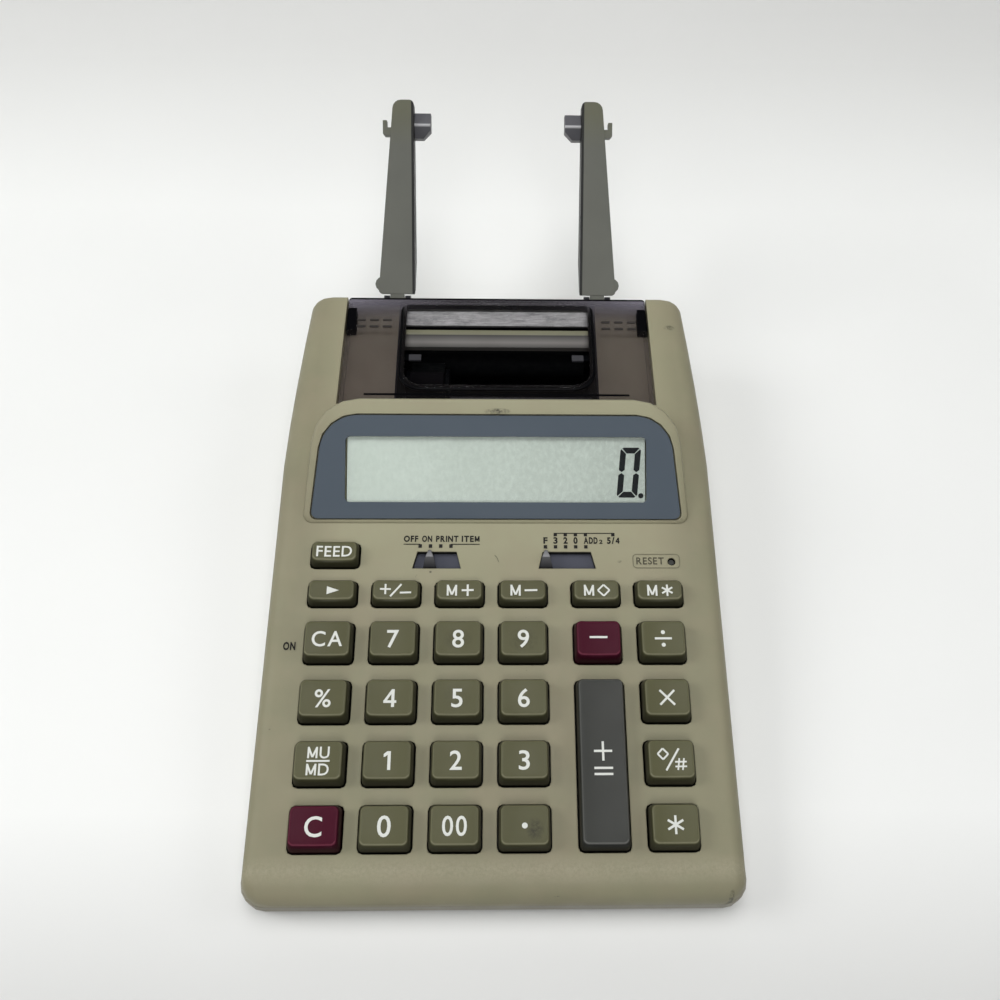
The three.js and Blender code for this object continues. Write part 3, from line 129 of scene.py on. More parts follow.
# Lettering: a capital of Blender's own font at size 1, the gap between letters, and what swells thin ones
FONT_CAPITAL = 0.682
LETTER_GAP = 0.17
PANEL_WEIGHT = 0.038
RESET_WEIGHT = 0.014

# Words on the panel: text, left end, right end, middle up the panel and height
PRINT_SWITCH_WORDS = [
    ("OFF", -28.5, -24.1, 92.0, 1.85),
    ("ON", -22.9, -19.8, 92.0, 1.85),
    ("PRINT", -18.6, -11.7, 92.0, 1.85),
    ("ITEM", -10.7, -5.2, 92.0, 1.85),
]
DECIMAL_SWITCH_WORDS = [
    ("F", 14.5, 15.8, 91.5, 1.95),
    ("3", 17.6, 18.9, 91.5, 1.95),
    ("2", 20.7, 22.0, 91.5, 1.95),
    ("0", 23.8, 25.1, 91.5, 1.95),
    ("ADD", 27.0, 31.3, 91.5, 1.95),
    ("2", 31.8, 32.8, 91.1, 1.2),
    ("5/4", 34.2, 38.1, 91.5, 1.95),
]
CLEAR_ALL_WORD = ("ON", -62.4, -58.8, 3 * PITCH_Y + 5.8, 2.2)
RESET_WORD = ("RESET", 42.95, 51.45, 84.8, 2.2)

# Ticks and rules by the switches: middle x, middle up the panel, length and width
PRINT_SWITCH_TICKS = [(-23.4 + 3.15 * k, 89.6, 1.05, 1.15) for k in range(4)]
PRINT_SWITCH_RULES = [(-25.95, 90.2, 5.1, 0.28), (-9.6, 90.2, 8.9, 0.28)]
DECIMAL_SWITCH_TICKS = [
    *((15.1 + 3.12 * k, 89.4, 1.05, 1.1) for k in range(5)),
    *((15.1 + 3.12 * k, 93.4, 1.05, 0.95) for k in range(1, 5)),
    (36.1, 93.4, 1.05, 0.95),
]
DECIMAL_SWITCH_RULE = (27.2, 93.9, 18.9, 0.28)

# Slide switches: middle of the knob, and both ends of the dust shield that slides with it
SWITCHES = {
    "print_switch_knob": (-20.3, -32.0, -7.5),
    "decimal_switch_knob": (15.2, 0.3, 30.7),
}
SHIELD_FRONT = 81.6
SHIELD_REAR = 88.4
SHIELD_HEIGHTS = (-2.45, -2.34)

# Display, measured up its own slope. A corner is x, y and radius
BORDER_CORNERS = [(-57.65, 1.25, 2), (57.65, 1.25, 2), (54.05, 33.65, 12), (-54.05, 33.65, 12)]
BORDER_MIDDLE = np.array([0.0, 17.0])
BORDER_HEIGHT = -0.3
BORDER_FOOT = -1.5
BORDER_EDGE = 0.15
FIELD = (-47.1, 46.9, 6.4, 27.0)
FIELD_RADIUS = 1.5
PANE_HEIGHTS = (-1.4, -1.2)
FIGURE_HEIGHT = -2.3

# Printer cover: finger grips as left end and Y, and the lip round its window
GRIPS = [(-48.5, 173.5), (-48.5, 170.7), (36.0, 173.1), (36.0, 170.3)]
GRIP_PITCH = 4.5
GRIP_SIZE = (3.1, 0.8)
LIP_WIDTH = 1.9
LIP_START = 0.05
LIP_FOOT = -1.9
LIP_SKIRT = -0.3

# Screws under the case: posts, then radius and height of each ring of a head
SCREW_X = 62.45
SCREW_YS = (24.0, 72.0, 134.0)
SCREW_RINGS = ((1.9, 1.45), (2.5, 1.65), (2.7, 1.95), (2.7, 2.25))
SCREW_SLOT = (1.3, 0.25)
SCREW_SLOT_HEIGHTS = (1.42, 1.46)

# Tabs at the printer: front, rear and heights, then ends of each tab and of its stem
TAB_LOW = (161.5, 33.2)
TAB_HIGH = (164.0, 33.9)
TABS = [(-30.5, -26.3), (25.9, 29.9)]
TAB_STEMS = [(-34.2, -30.5), (29.9, 34.2)]
GUIDE_EDGE = ((-33.6, 180.45, 37.0), (33.6, 180.8, 38.9))
TEAR_BAR_FOOT = 33.0

# Worn spots: middle x and y, reach to the sides, reach up and strength
CASE_SOIL = [
    (0.3, 126.5, 4.5, 1.0, 0.95),
    (37.8, 83.7, 0.8, 0.5, 0.8),
    (-20.0, 80.3, 0.5, 0.4, 0.8),
    (59.6, 171.3, 2.2, 1.2, 0.8),
    (64.3, -11.0, 0.9, 2.4, 1.0),
]
KEY_SOIL = [
    (10.8, 5.2, 2.6, 3.2, 0.75),
    (-11.0, 57.4, 4.6, 4.0, 0.3),
    (8.0, 57.4, 4.6, 4.0, 0.35),
    (-11.0, 40.7, 4.4, 4.4, 0.2),
]

# Stage: the table's extent, the lamps as name, place in metres, size and power, and the camera
TABLE_HALF_WIDTH = 1600.0
TABLE_FRONT = -1400.0
TABLE_BEND_START = 386.0
TABLE_BEND_RADIUS = 70.0
TABLE_WALL_TOP = 450.0
SKY_COLOUR = (0.97, 0.985, 1.0, 1.0)
SKY_STRENGTH = 0.07
LAMPS = [
    ("overhead", (0.0, 0.05, 1.1), 0.7, 5.0),
    ("left_side", (-0.9, 0.0, 0.8), 0.6, 5.0),
    ("right_side", (0.9, 0.0, 0.8), 0.6, 2.1),
    ("behind_camera", (0.0, -0.8, 0.9), 0.6, 4.6),
]
CAMERA_PLACE = (0.93, -66.15, 298.43)
CAMERA_ROLL = -1.303
CAMERA_TURN = -0.662
CAMERA_SHIFT = -0.0249
SENSOR_WIDTH = 36.0


def panel_height(y):
    """Height of the keyboard panel: its front height plus the distance times the slope's tangent."""
    return PANEL_FRONT_HEIGHT + y * math.tan(math.radians(PANEL_SLOPE))


def sloped(degrees, y, z):
    """Turn about X by the slope, then a move to (0, y, z), as a 4 x 4 matrix in millimetres."""
    c, s = math.cos(math.radians(degrees)), math.sin(math.radians(degrees))
    return np.array([[1, 0, 0, 0], [0, c, -s, y + SHIFT], [0, s, c, z], [0, 0, 0, 1]])


LEVEL = sloped(0, 0, 0)
PANEL = sloped(PANEL_SLOPE, 0, PANEL_FRONT_HEIGHT)
DISPLAY = sloped(DISPLAY_SLOPE, HOOD_FRONT, panel_height(HOOD_FRONT) + HOOD_RISE)
WING = sloped(WING_SLOPE, WING_START, panel_height(WING_START))
ARM = sloped(ARM_LEAN, *ARM_PIVOT)


def along_wing(y):
    """Distance up the wing's slope of a Y in the drawing frame."""
    return (y - WING_START) / math.cos(math.radians(WING_SLOPE))


# Meshes, as pairs of points and faces


def make_object(name, mesh, place, finish_name, smooth=True, shares=None):
    """An object whose points went through the 4 x 4 place and into metres.

    The shares are named numbers, one for each point, that its finish reads as attributes.
    """
    points, faces = mesh
    placed = (np.asarray(points, float) @ place[:3, :3].T + place[:3, 3]) * MM
    data = bpy.data.meshes.new(name)
    data.from_pydata(placed.tolist(), [], [list(face) for face in faces])
    for share_name, values in (shares or {}).items():
        data.attributes.new(share_name, "FLOAT", "POINT").data.foreach_set("value", values)
    data.validate()
    data.polygons.foreach_set("use_smooth", [smooth] * len(data.polygons))
    data.materials.append(finish(finish_name))
    made = bpy.data.objects.new(name, data)
    bpy.context.scene.collection.objects.link(made)
    return made


def make_piece(name, mesh, place, finish_name, body, slot=None, smooth=True, replaces=(), shares=None):
    """A named piece of the machine, which rides on a CAD body and may take the place of CAD nodes."""
    piece = make_object(name, mesh, place, finish_name, smooth, shares)
    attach(piece, body)
    if replaces:
        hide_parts(*replaces)


def dress(node, finish_name):
    """Gives a CAD node its finish. Its split corners are welded and its large faces lead the shading."""
    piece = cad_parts[node]
    piece.data.materials.clear()
    piece.data.materials.append(finish(finish_name))
    piece.data.polygons.foreach_set("use_smooth", [True] * len(piece.data.polygons))
    weld = piece.modifiers.new("weld", "WELD")
    weld.merge_threshold = 0.002 * MM
    split = piece.modifiers.new("sharp_edges", "EDGE_SPLIT")
    split.split_angle = math.radians(32)
    lead = piece.modifiers.new("flat_faces_lead", "WEIGHTED_NORMAL")
    lead.weight = 100


def joined(parts):
    """Several meshes as one, with the later faces' numbers moved up."""
    points, faces, start = [], [], 0
    for part_points, part_faces in parts:
        points.append(np.asarray(part_points, float))
        faces += [tuple(i + start for i in face) for face in part_faces]
        start += len(part_points)
    return np.vstack(points), faces


def ring_stack(rings, close_start=True, close_end=True):
    """A skin over rings of equal length: quads join two neighbours to the same two on the next ring.

    One face closes each end where that is asked for.
    """
    count = len(rings[0])
    points = np.vstack(rings)
    here = np.arange(len(points) - count).reshape(-1, count)
    beside = np.roll(here, -1, axis=1)
    quads = np.stack([here, beside, beside + count, here + count], axis=-1)
    faces = [tuple(quad) for quad in quads.reshape(-1, 4).tolist()]
    if close_start:
        faces.append(tuple(reversed(range(count))))
    if close_end:
        faces.append(tuple(range(len(points) - count, len(points))))
    return points, faces


def turned_out(mesh):
    """The same mesh with the corners of each face in reverse order."""
    points, faces = mesh
    return points, [tuple(reversed(face)) for face in faces]


def with_height(loop, height):
    """Flat points with one height, or a height each."""
    loop = np.asarray(loop, float)
    return np.column_stack([loop, np.broadcast_to(height, len(loop))])


def box_mesh(low, high):
    """The eight corners and six faces of a box."""
    (x0, y0, z0), (x1, y1, z1) = low, high
    base = [(x0, y0), (x1, y0), (x1, y1), (x0, y1)]
    return ring_stack([with_height(base, z) for z in (z0, z1)])


def unit(vector):
    """A vector, or each row of several, with length one."""
    return vector / np.linalg.norm(vector, axis=-1, keepdims=True)


def arc(centre, radius, start, turn, steps):
    """Points on a circle: the centre plus the radius times the cosine and sine of even steps of degrees."""
    angles = np.radians(start + np.linspace(0, turn, steps + 1))
    return np.array(centre) + radius * np.column_stack([np.cos(angles), np.sin(angles)])


def circle(x, y, radius, steps):
    """A closed circle, anticlockwise."""
    return arc((x, y), radius, 0, 360, steps)[:-1]


def rounded_rectangle(x0, x1, y0, y1, radius, corner_steps=6, side_steps=1):
    """Points round a rectangle, anticlockwise: a quarter circle at each corner and even steps between.

    The radius is one number, or one for the front corners and one for the rear ones.
    """
    front, rear = np.minimum(np.broadcast_to(radius, 2), min(x1 - x0, y1 - y0) / 2)
    arcs = [
        arc((x1 - front, y0 + front), front, -90, 90, corner_steps),
        arc((x1 - rear, y1 - rear), rear, 0, 90, corner_steps),
        arc((x0 + rear, y1 - rear), rear, 90, 90, corner_steps),
        arc((x0 + front, y0 + front), front, 180, 90, corner_steps),
    ]
    shares = np.arange(1, side_steps)[:, None] / side_steps
    loop = []
    for corner, following in zip(arcs, arcs[1:] + arcs[:1]):
        loop += [corner, corner[-1] + shares * (following[0] - corner[-1])]
    return np.vstack(loop)


def rounded_polygon(corners, steps=9):
    """Points round corners given as (x, y, radius): each is an arc that touches both its sides.

    With half the corner's angle a, the arc's centre lies radius / sin a along the line that halves the
    angle, and the arc touches each side radius / tan a from the corner.
    """
    loop = []
    for i, (x, y, radius) in enumerate(corners):
        here = np.array([x, y])
        before = unit(np.array(corners[i - 1][:2]) - here)
        after = unit(np.array(corners[(i + 1) % len(corners)][:2]) - here)
        half = math.acos(float(before @ after)) / 2
        centre = here + unit(before + after) * radius / math.sin(half)
        touch = here + before * radius / math.tan(half) - centre
        start = math.degrees(math.atan2(touch[1], touch[0]))
        loop.append(arc(centre, radius, start, 180 - 2 * math.degrees(half), steps))
    return np.vstack(loop)


def crossed(first, second):
    """The cross product of flat vectors: x of the first times y of the second, less y times x."""
    return first[..., 0] * second[..., 1] - first[..., 1] * second[..., 0]


def seen_through(inner, outer, middle):
    """Where rays from a middle through each inner point meet the outer loop.

    A ray meets a side where middle + r * ray = corner + s * side. Crossed with the side and with the
    ray, that gives r and s, and s has to lie between 0 and 1.
    """
    rays = (inner - middle)[:, None]
    sides = np.roll(outer, -1, axis=0) - outer
    gaps = outer - middle
    with np.errstate(divide="ignore", invalid="ignore"):
        r = crossed(gaps, sides) / crossed(rays, sides)
        s = crossed(gaps, rays) / crossed(rays, sides)
    met = (r > 0) & (s >= -1e-9) & (s <= 1 + 1e-9)
    nearest = np.where(met, r, np.inf).min(axis=1)
    return middle + rays[:, 0] * nearest[:, None]


# Marks: lettering and line work that lie on a surface


def stroke(start, end, width):
    """A straight bar between two points, as a flat rectangle."""
    start, end = np.array(start, float), np.array(end, float)
    along = unit(end - start)
    side = np.array([-along[1], along[0]]) * width / 2
    return np.array([start - side, end - side, end + side, start + side]), [(0, 1, 2, 3)]


def bar(x, y, length, width):
    """A level bar about its middle."""
    return stroke((x - length / 2, y), (x + length / 2, y), width)


def upright(x, y, length, width):
    """An upright bar about its middle."""
    return stroke((x, y - length / 2), (x, y + length / 2), width)


def patch(outline):
    """A filled flat shape."""
    return np.array(outline, float), [tuple(range(len(outline)))]


def dot(x, y, radius):
    """A filled circle."""
    return patch(circle(x, y, radius, 20))


def diamond(x, y, reach, width):
    """A square on its point, drawn with four bars."""
    corners = [(x - reach, y), (x, y + reach), (x + reach, y), (x, y - reach)]
    return [stroke(corners[i], corners[(i + 1) % 4], width) for i in range(4)]


def star(x, y, reach, width):
    """Three crossed bars, 60 degrees apart."""
    bars = []
    for degrees in (90, 30, 150):
        dx, dy = reach * math.cos(math.radians(degrees)), reach * math.sin(math.radians(degrees))
        bars.append(stroke((x - dx, y - dy), (x + dx, y + dy), width))
    return bars


def hash_sign(x, y, reach, width):
    """Two leaning bars across two level ones, each pair 0.4 of the reach from the middle."""
    apart, lean = 0.4 * reach, 0.16 * reach
    level = [bar(x, y + k * apart, 2 * reach, width) for k in (-1, 1)]
    starts = [x + k * apart for k in (-1, 1)]
    leaning = [stroke((start - lean, y - reach), (start + lean, y + reach), width) for start in starts]
    return level + leaning


def outline_band(loop, width):
    """A closed band of even width that follows a loop, drawn inwards along the loop's own normals."""
    loop = np.asarray(loop, float)
    ahead = np.roll(loop, -1, axis=0) - np.roll(loop, 1, axis=0)
    inward = unit(np.column_stack([-ahead[:, 1], ahead[:, 0]]))
    count = len(loop)
    faces = [(i, (i + 1) % count, (i + 1) % count + count, i + count) for i in range(count)]
    return np.vstack([loop, loop + inward * width]), faces


def moved_mark(mark, x, y):
    """A flat mark moved by x and y."""
    points, faces = mark
    return np.asarray(points, float) + np.array([x, y]), faces


def own_letter(char, weight):
    """M, 1 or 4 from straight bars, one unit high: the built-in font has them thin or without a flag."""
    width = 0.15 + 2 * weight
    if char == "M":
        sides = (width / 2, 0.9 - width / 2)
        legs = [upright(x, 0.5, 1.0, width) for x in sides]
        slants = [stroke((x, 1 - width * 0.3), (0.45, width * 0.55), width) for x in sides]
        return joined(legs + slants)
    if char == "1":
        flag = patch([(0, 0.68), (0.1, 0.72), (0.24, 0.82), (0.27, 1.0), (0.19, 1.0), (0, 0.85)])
        return joined([upright(0.3, 0.5, 1.0, width), flag])
    level = bar(0.36, 0.3, 0.72, width * 0.85)
    slant = stroke((0.06, 0.3), (0.5, 0.95), width * 0.85)
    return joined([upright(0.52, 0.5, 1.0, width), level, slant])


def font_letter(char, weight):
    """One character of Blender's own font, scaled so that a capital stands one unit high."""
    curve = bpy.data.curves.new("letter", "FONT")
    curve.body = char
    curve.offset = weight
    curve.resolution_u = 4
    holder = bpy.data.objects.new("letter", curve)
    mesh = bpy.data.meshes.new_from_object(holder)
    points = np.zeros(len(mesh.vertices) * 3)
    mesh.vertices.foreach_get("co", points)
    faces = [tuple(polygon.vertices) for polygon in mesh.polygons]
    bpy.data.objects.remove(holder)
    bpy.data.curves.remove(curve)
    bpy.data.meshes.remove(mesh)
    return points.reshape(-1, 3)[:, :2] / FONT_CAPITAL, faces


def glyphs(text, height, stretch=1.0, weight=0.01):
    """A word as one flat mark about its own middle: its letters stand side by side with an even gap."""
    marks, x = [], 0.0
    for char in text:
        points, faces = own_letter(char, weight) if char in "M14" else font_letter(char, weight)
        points = points - np.array([points[:, 0].min() - x, 0])
        x = points[:, 0].max() + LETTER_GAP
        marks.append((points, faces))
    points, faces = joined(marks)
    return (points - np.array([(x - LETTER_GAP) / 2, 0.5])) * height * np.array([stretch, 1.0]), faces


def fitted_word(text, left, right, v, height, weight=PANEL_WEIGHT):
    """A word stretched so that it reaches from a left end to a right one, about a height up the panel."""
    points, faces = glyphs(text, height, weight=weight)
    points[:, 0] *= (right - left) / (points[:, 0].max() - points[:, 0].min())
    return moved_mark((points, faces), (left + right) / 2, v)


def print_marks(name, marks, surface, place, finish_name, body, lift=0.05):
    """Lays flat marks on a surface: each takes its height plus a lift that grows a little every time."""
    parts = []
    for number, (points, faces) in enumerate(marks):
        heights = surface(points[:, 0], points[:, 1]) + lift + number * lift / 40
        parts.append((with_height(points, heights), faces))
    make_piece(name, joined(parts), place, finish_name, body, smooth=False)


def flat(level):
    """A surface with one height everywhere, as a function of x and y."""
    return lambda x, y: np.full(np.shape(x), float(level))


# Materials


def linear(red, green, blue, dim=1.0):
    """A screen colour, 0 to 255, as the linear colour that a shader takes, dimmed by a factor."""
    shares = np.array([red, green, blue]) / 255
    low = shares / 12.92
    high = ((shares + 0.055) / 1.055) ** 2.4
    return (*(dim * np.where(shares <= 0.04045, low, high)).tolist(), 1.0)


class Nodes:
    """Builds one material's nodes. Each method but wire and shade returns what it adds."""

    def __init__(self, name):
        self.material = bpy.data.materials.new(name)
        self.material.use_nodes = True
        self.tree = self.material.node_tree
        self.shader = self.tree.nodes["Principled BSDF"]
        self.output = self.tree.nodes["Material Output"]
        self.place = self.add("ShaderNodeTexCoord").outputs["Object"]

    def wire(self, value, socket):
        """Links an output to a socket, or sets the socket to a plain value."""
        if isinstance(value, bpy.types.NodeSocket):
            self.tree.links.new(value, socket)
        else:
            socket.default_value = value

    def shade(self, inputs):
        """Sets inputs of the main shader by their names, and gives the material back."""
        for key, value in inputs.items():
            self.wire(value, self.shader.inputs[key])
        return self.material

    def add(self, kind, inputs=None, **settings):
        """A node with its settings and inputs set."""
        node = self.tree.nodes.new(kind)
        for key, value in settings.items():
            setattr(node, key, value)
        for key, value in (inputs or {}).items():
            self.wire(value, node.inputs[key])
        return node

    def result(self, kind, inputs=None, **settings):
        """The first output of a new node."""
        return self.add(kind, inputs, **settings).outputs[0]

    def attribute(self, name):
        """A number that the mesh carries at each point."""
        return self.add("ShaderNodeAttribute", attribute_name=name).outputs["Fac"]

    @cached_property
    def axes(self):
        """The drawing frame's three coordinates, in millimetres."""
        inputs = {"Vector": self.place, "Location": (0, -SHIFT, 0), "Scale": (1 / MM,) * 3}
        moved = self.result("ShaderNodeMapping", inputs)
        return tuple(self.add("ShaderNodeSeparateXYZ", {"Vector": moved}).outputs)

    def measured(self, place, axis):
        """Distance from a sloped place's origin along its own axis: 1 is up the slope, 2 is square to it.

        It is (y - y0) times the axis's y plus (z - z0) times the axis's z.
        """
        _, y, z = self.axes
        along_y, along_z = place[1:3, axis]
        start = (place[1, 3] - SHIFT) * along_y + place[2, 3] * along_z
        reach = self.math("ADD", self.times(y, along_y), self.times(z, along_z))
        return self.math("SUBTRACT", reach, start)

    def math(self, operation, first, second=0.0):
        """One sum, difference, product or the like."""
        return self.result("ShaderNodeMath", {0: first, 1: second}, operation=operation)

    def times(self, first, *others):
        """The product of all."""
        for other in others:
            first = self.math("MULTIPLY", first, other)
        return first

    def between(self, value, low, high, out_low=0.0, out_high=1.0):
        """Maps a value from one range to another, held at its ends."""
        names = ("Value", "From Min", "From Max", "To Min", "To Max")
        return self.result("ShaderNodeMapRange", dict(zip(names, (value, low, high, out_low, out_high))))

    def within(self, value, low, high, soft=0.02):
        """A share that is one between low and high, and falls to nothing over a soft stretch at both."""
        return self.times(self.between(value, low, low + soft), self.between(value, high, high - soft))

    def noise(self, size_mm, detail=3.0, roughness=0.5, stretch=(1, 1, 1)):
        """Cloudy noise whose blotches are about size_mm across."""
        place = self.result("ShaderNodeMapping", {"Vector": self.place, "Scale": stretch})
        inputs = {"Vector": place, "Scale": 1 / (size_mm * MM), "Detail": detail, "Roughness": roughness}
        return self.add("ShaderNodeTexNoise", inputs).outputs["Fac"]

    def blend(self, share, first, second):
        """Two colours mixed by a share."""
        return self.add("ShaderNodeMix", {0: share, 6: first, 7: second}, data_type="RGBA").outputs[2]

    def mix(self, share, first, second):
        """Two shaders mixed by a share."""
        return self.result("ShaderNodeMixShader", {0: share, 1: first, 2: second})

    def surface(self, edge_mm=0.0, bumps=()):
        """The shading normal: edges rounded by edge_mm, then bumps given as (height, depth in mm)."""
        normal = None
        if edge_mm:
            normal = self.result("ShaderNodeBevel", {"Radius": edge_mm * MM}, samples=4)
        for height, depth in bumps:
            inputs = {"Height": height, "Distance": depth * MM}
            if normal:
                inputs["Normal"] = normal
            normal = self.result("ShaderNodeBump", inputs)
        if normal:
            self.wire(normal, self.shader.inputs["Normal"])
        return normal


def plastic(
    name, colour, roughness=0.5, grain=0.0, edge=0.25, stain=0.06, speck=0.0, shine=0.25, paint=None
):
    """Moulded plastic: one colour with faint stains and dark specks, a fine grain and soft edges.

    The paint, if given, is a function that changes the colour by place.
    """
    n = Nodes(name)
    cloud = n.between(n.noise(34, 4.0, 0.6), 0.35, 0.7)
    tone = n.blend(cloud, linear(*colour), linear(*colour, dim=1 - 2.2 * stain))
    if speck:
        spots = n.between(n.noise(2.1, 2.0, 0.7), 0.735, 0.775)
        rare = n.between(n.noise(23, 1.0), 0.52, 0.6)
        tone = n.blend(n.times(spots, rare, speck), tone, linear(60, 55, 45))
    if paint:
        tone = paint(n, tone)
    polish = n.between(n.noise(9, 3.0), 0.3, 0.7, roughness - 0.05, roughness + 0.07)
    n.surface(edge, [(n.noise(0.42, 2.0, 0.6), grain)] if grain else [])
    return n.shade({"Base Color": tone, "Roughness": polish, "Specular IOR Level": shine})


def case_paint(n, tone):
    """The case's colour: paler about the display in painted light, with browner clouds and a painted sheen
    in a grainy band along the front.

    Painted shade makes it nearly black down in the key wells, in the printer's well and on each arm's lug.
    A point is down a well where its distance square to the panel or to the wing is below nothing.
    """
    x, y, _ = n.axes
    side = n.math("ABSOLUTE", x)

    def below(place, depth):
        return n.between(n.measured(place, 2), -depth, -depth - 0.35)

    # Painted light: the case is paler about the display.
    painted_light_by_display = n.times(n.between(y, 50, 95), n.between(side, 60, 48))
    tone = n.blend(n.times(painted_light_by_display, 0.75), tone, linear(156, 153, 126))
    brown = n.between(n.noise(30, 4.0, 0.7), 0.42, 0.66)
    tone = n.blend(n.times(brown, 0.35), tone, linear(146, 135, 114))
    # Painted sheen: a grainy pale band along the front.
    grains = n.between(n.noise(0.9, 4.0, 0.8), 0.36, 0.6, 0.08, 0.5)
    front_sheen = n.times(n.within(y, -8, 0, soft=4), grains)
    tone = soiled(n, n.blend(front_sheen, tone, linear(162, 156, 134)), CASE_SOIL)
    # Painted shade: nearly black down in the key wells, in the printer's well and on each arm's lug.
    key_well_shade = n.times(n.within(y, -1, 92), n.within(side, -1, 60.5), below(PANEL, 0.3))
    tone = n.blend(key_well_shade, tone, linear(22, 21, 17))
    printer_well_shade = n.times(n.within(y, 130, 183.5), n.within(side, -1, 34.4), below(WING, 0.5))
    tone = n.blend(printer_well_shade, tone, linear(20, 21, 26))
    lug_shade = n.between(y, 184.6, 184.8)
    return n.blend(lug_shade, tone, linear(34, 34, 38))


def soiled(n, tone, spots):
    """Darkens worn spots. Each is a middle, a reach to the sides, a reach up and a strength.

    Fine noise breaks up its share, which falls to nothing where (x / reach)^2 + (y / reach)^2 is one.
    """
    x, y, _ = n.axes
    grit = n.between(n.noise(1.4, 5.0, 0.8), 0.4, 0.6)
    for middle_x, middle_y, reach_x, reach_y, strength in spots:
        across = n.math("DIVIDE", n.math("SUBTRACT", x, middle_x), reach_x)
        up = n.math("DIVIDE", n.math("SUBTRACT", y, middle_y), reach_y)
        far = n.math("ADD", n.times(across, across), n.times(up, up))
        tone = n.blend(n.times(n.between(far, 1.0, 0.1), grit, strength), tone, linear(42, 40, 33))
    return tone


def key_paint(wall_shade, lip, soil=()):
    """A key's colours: painted shade down its sides, a painted highlight along its lip, and worn spots."""

    def paint(n, tone):
        tone = n.blend(n.attribute("wall_shade"), soiled(n, tone, soil), linear(*wall_shade))
        return n.blend(n.attribute("lip"), tone, linear(*lip))

    return paint


def arm_paint(n, tone):
    """An arm's colours: painted shade down its inner side, a grey hub with a painted highlight on its
    crest, and a yellower tip.
    """
    side = n.math("ABSOLUTE", n.axes[0])
    tip = n.between(n.measured(ARM, 1), 54, 66)
    tone = n.blend(n.times(tip, 0.6), tone, linear(96, 96, 74))
    # Painted shade down the arm's inner side, and a painted highlight on the hub's crest.
    inner_side_shade = n.between(side, ARM_INNER + 0.95, ARM_INNER + 0.85)
    tone = n.blend(inner_side_shade, tone, linear(30, 30, 29))
    ridge_highlight = n.between(n.measured(ARM, 2), 0.02, 0.2)
    hub = n.between(side, ARM_INNER - 0.1, ARM_INNER - 0.15)
    return n.blend(hub, tone, n.blend(ridge_highlight, linear(88, 88, 92), linear(178, 178, 180)))


def bar_paint(n, tone):
    """The tear bar's colours: an olive upper edge over a grey front with painted shade at its top and
    bottom and a painted highlight half way down.
    """
    height = n.math("SUBTRACT", n.axes[2], TEAR_BAR_FOOT)
    # Painted shade and a painted highlight down the grey front.
    front = n.blend(n.between(height, 2.6, 1.2), linear(57, 56, 54), linear(110, 107, 104))
    front = n.blend(n.between(height, 1.0, 0.0), front, linear(64, 62, 60))
    return n.blend(n.between(height, 2.65, 2.8), front, tone)


def metal(name, colour, roughness=0.3, wear=None):
    """Bright metal with fine streaks from side to side, and worn patches of another colour if given."""
    n = Nodes(name)
    streaks = n.noise(0.5, 3.0, 0.7, (0.1, 1, 1))
    darker = [0.82 * level for level in colour]
    tone = n.blend(n.between(streaks, 0.3, 0.7), linear(*colour), linear(*darker))
    if wear:
        patches = n.between(n.noise(4.0, 8.0, 0.9, (0.6, 1.8, 1.8)), 0.48, 0.66)
        tone = n.blend(n.times(patches, 0.8), tone, linear(*wear))
    polish = n.between(streaks, 0.2, 0.8, roughness - 0.08, roughness + 0.14)
    n.surface(0.1, [(streaks, 0.01)])
    return n.shade({"Base Color": tone, "Metallic": 0.85, "Roughness": polish})


def rubber(name, colour, roughness=0.85, dust=0.35, shine=0.3):
    """Dull rubber with a dusty bloom."""
    n = Nodes(name)
    bloom = n.between(n.noise(3.0, 4.0, 0.7), 0.45, 0.75)
    tone = n.blend(n.times(bloom, dust), linear(*colour), linear(120, 118, 112))
    n.surface(0.2, [(n.noise(0.5), 0.03)])
    return n.shade({"Base Color": tone, "Roughness": roughness, "Specular IOR Level": shine})


def printed(name, colour, roughness=0.5, patchy=0.12):
    """A thin layer of print, very slightly uneven."""
    n = Nodes(name)
    tone = n.blend(n.noise(1.2, 3.0), linear(*colour), linear(*colour, dim=1 - patchy))
    return n.shade({"Base Color": tone, "Roughness": roughness, "Specular IOR Level": 0.2})


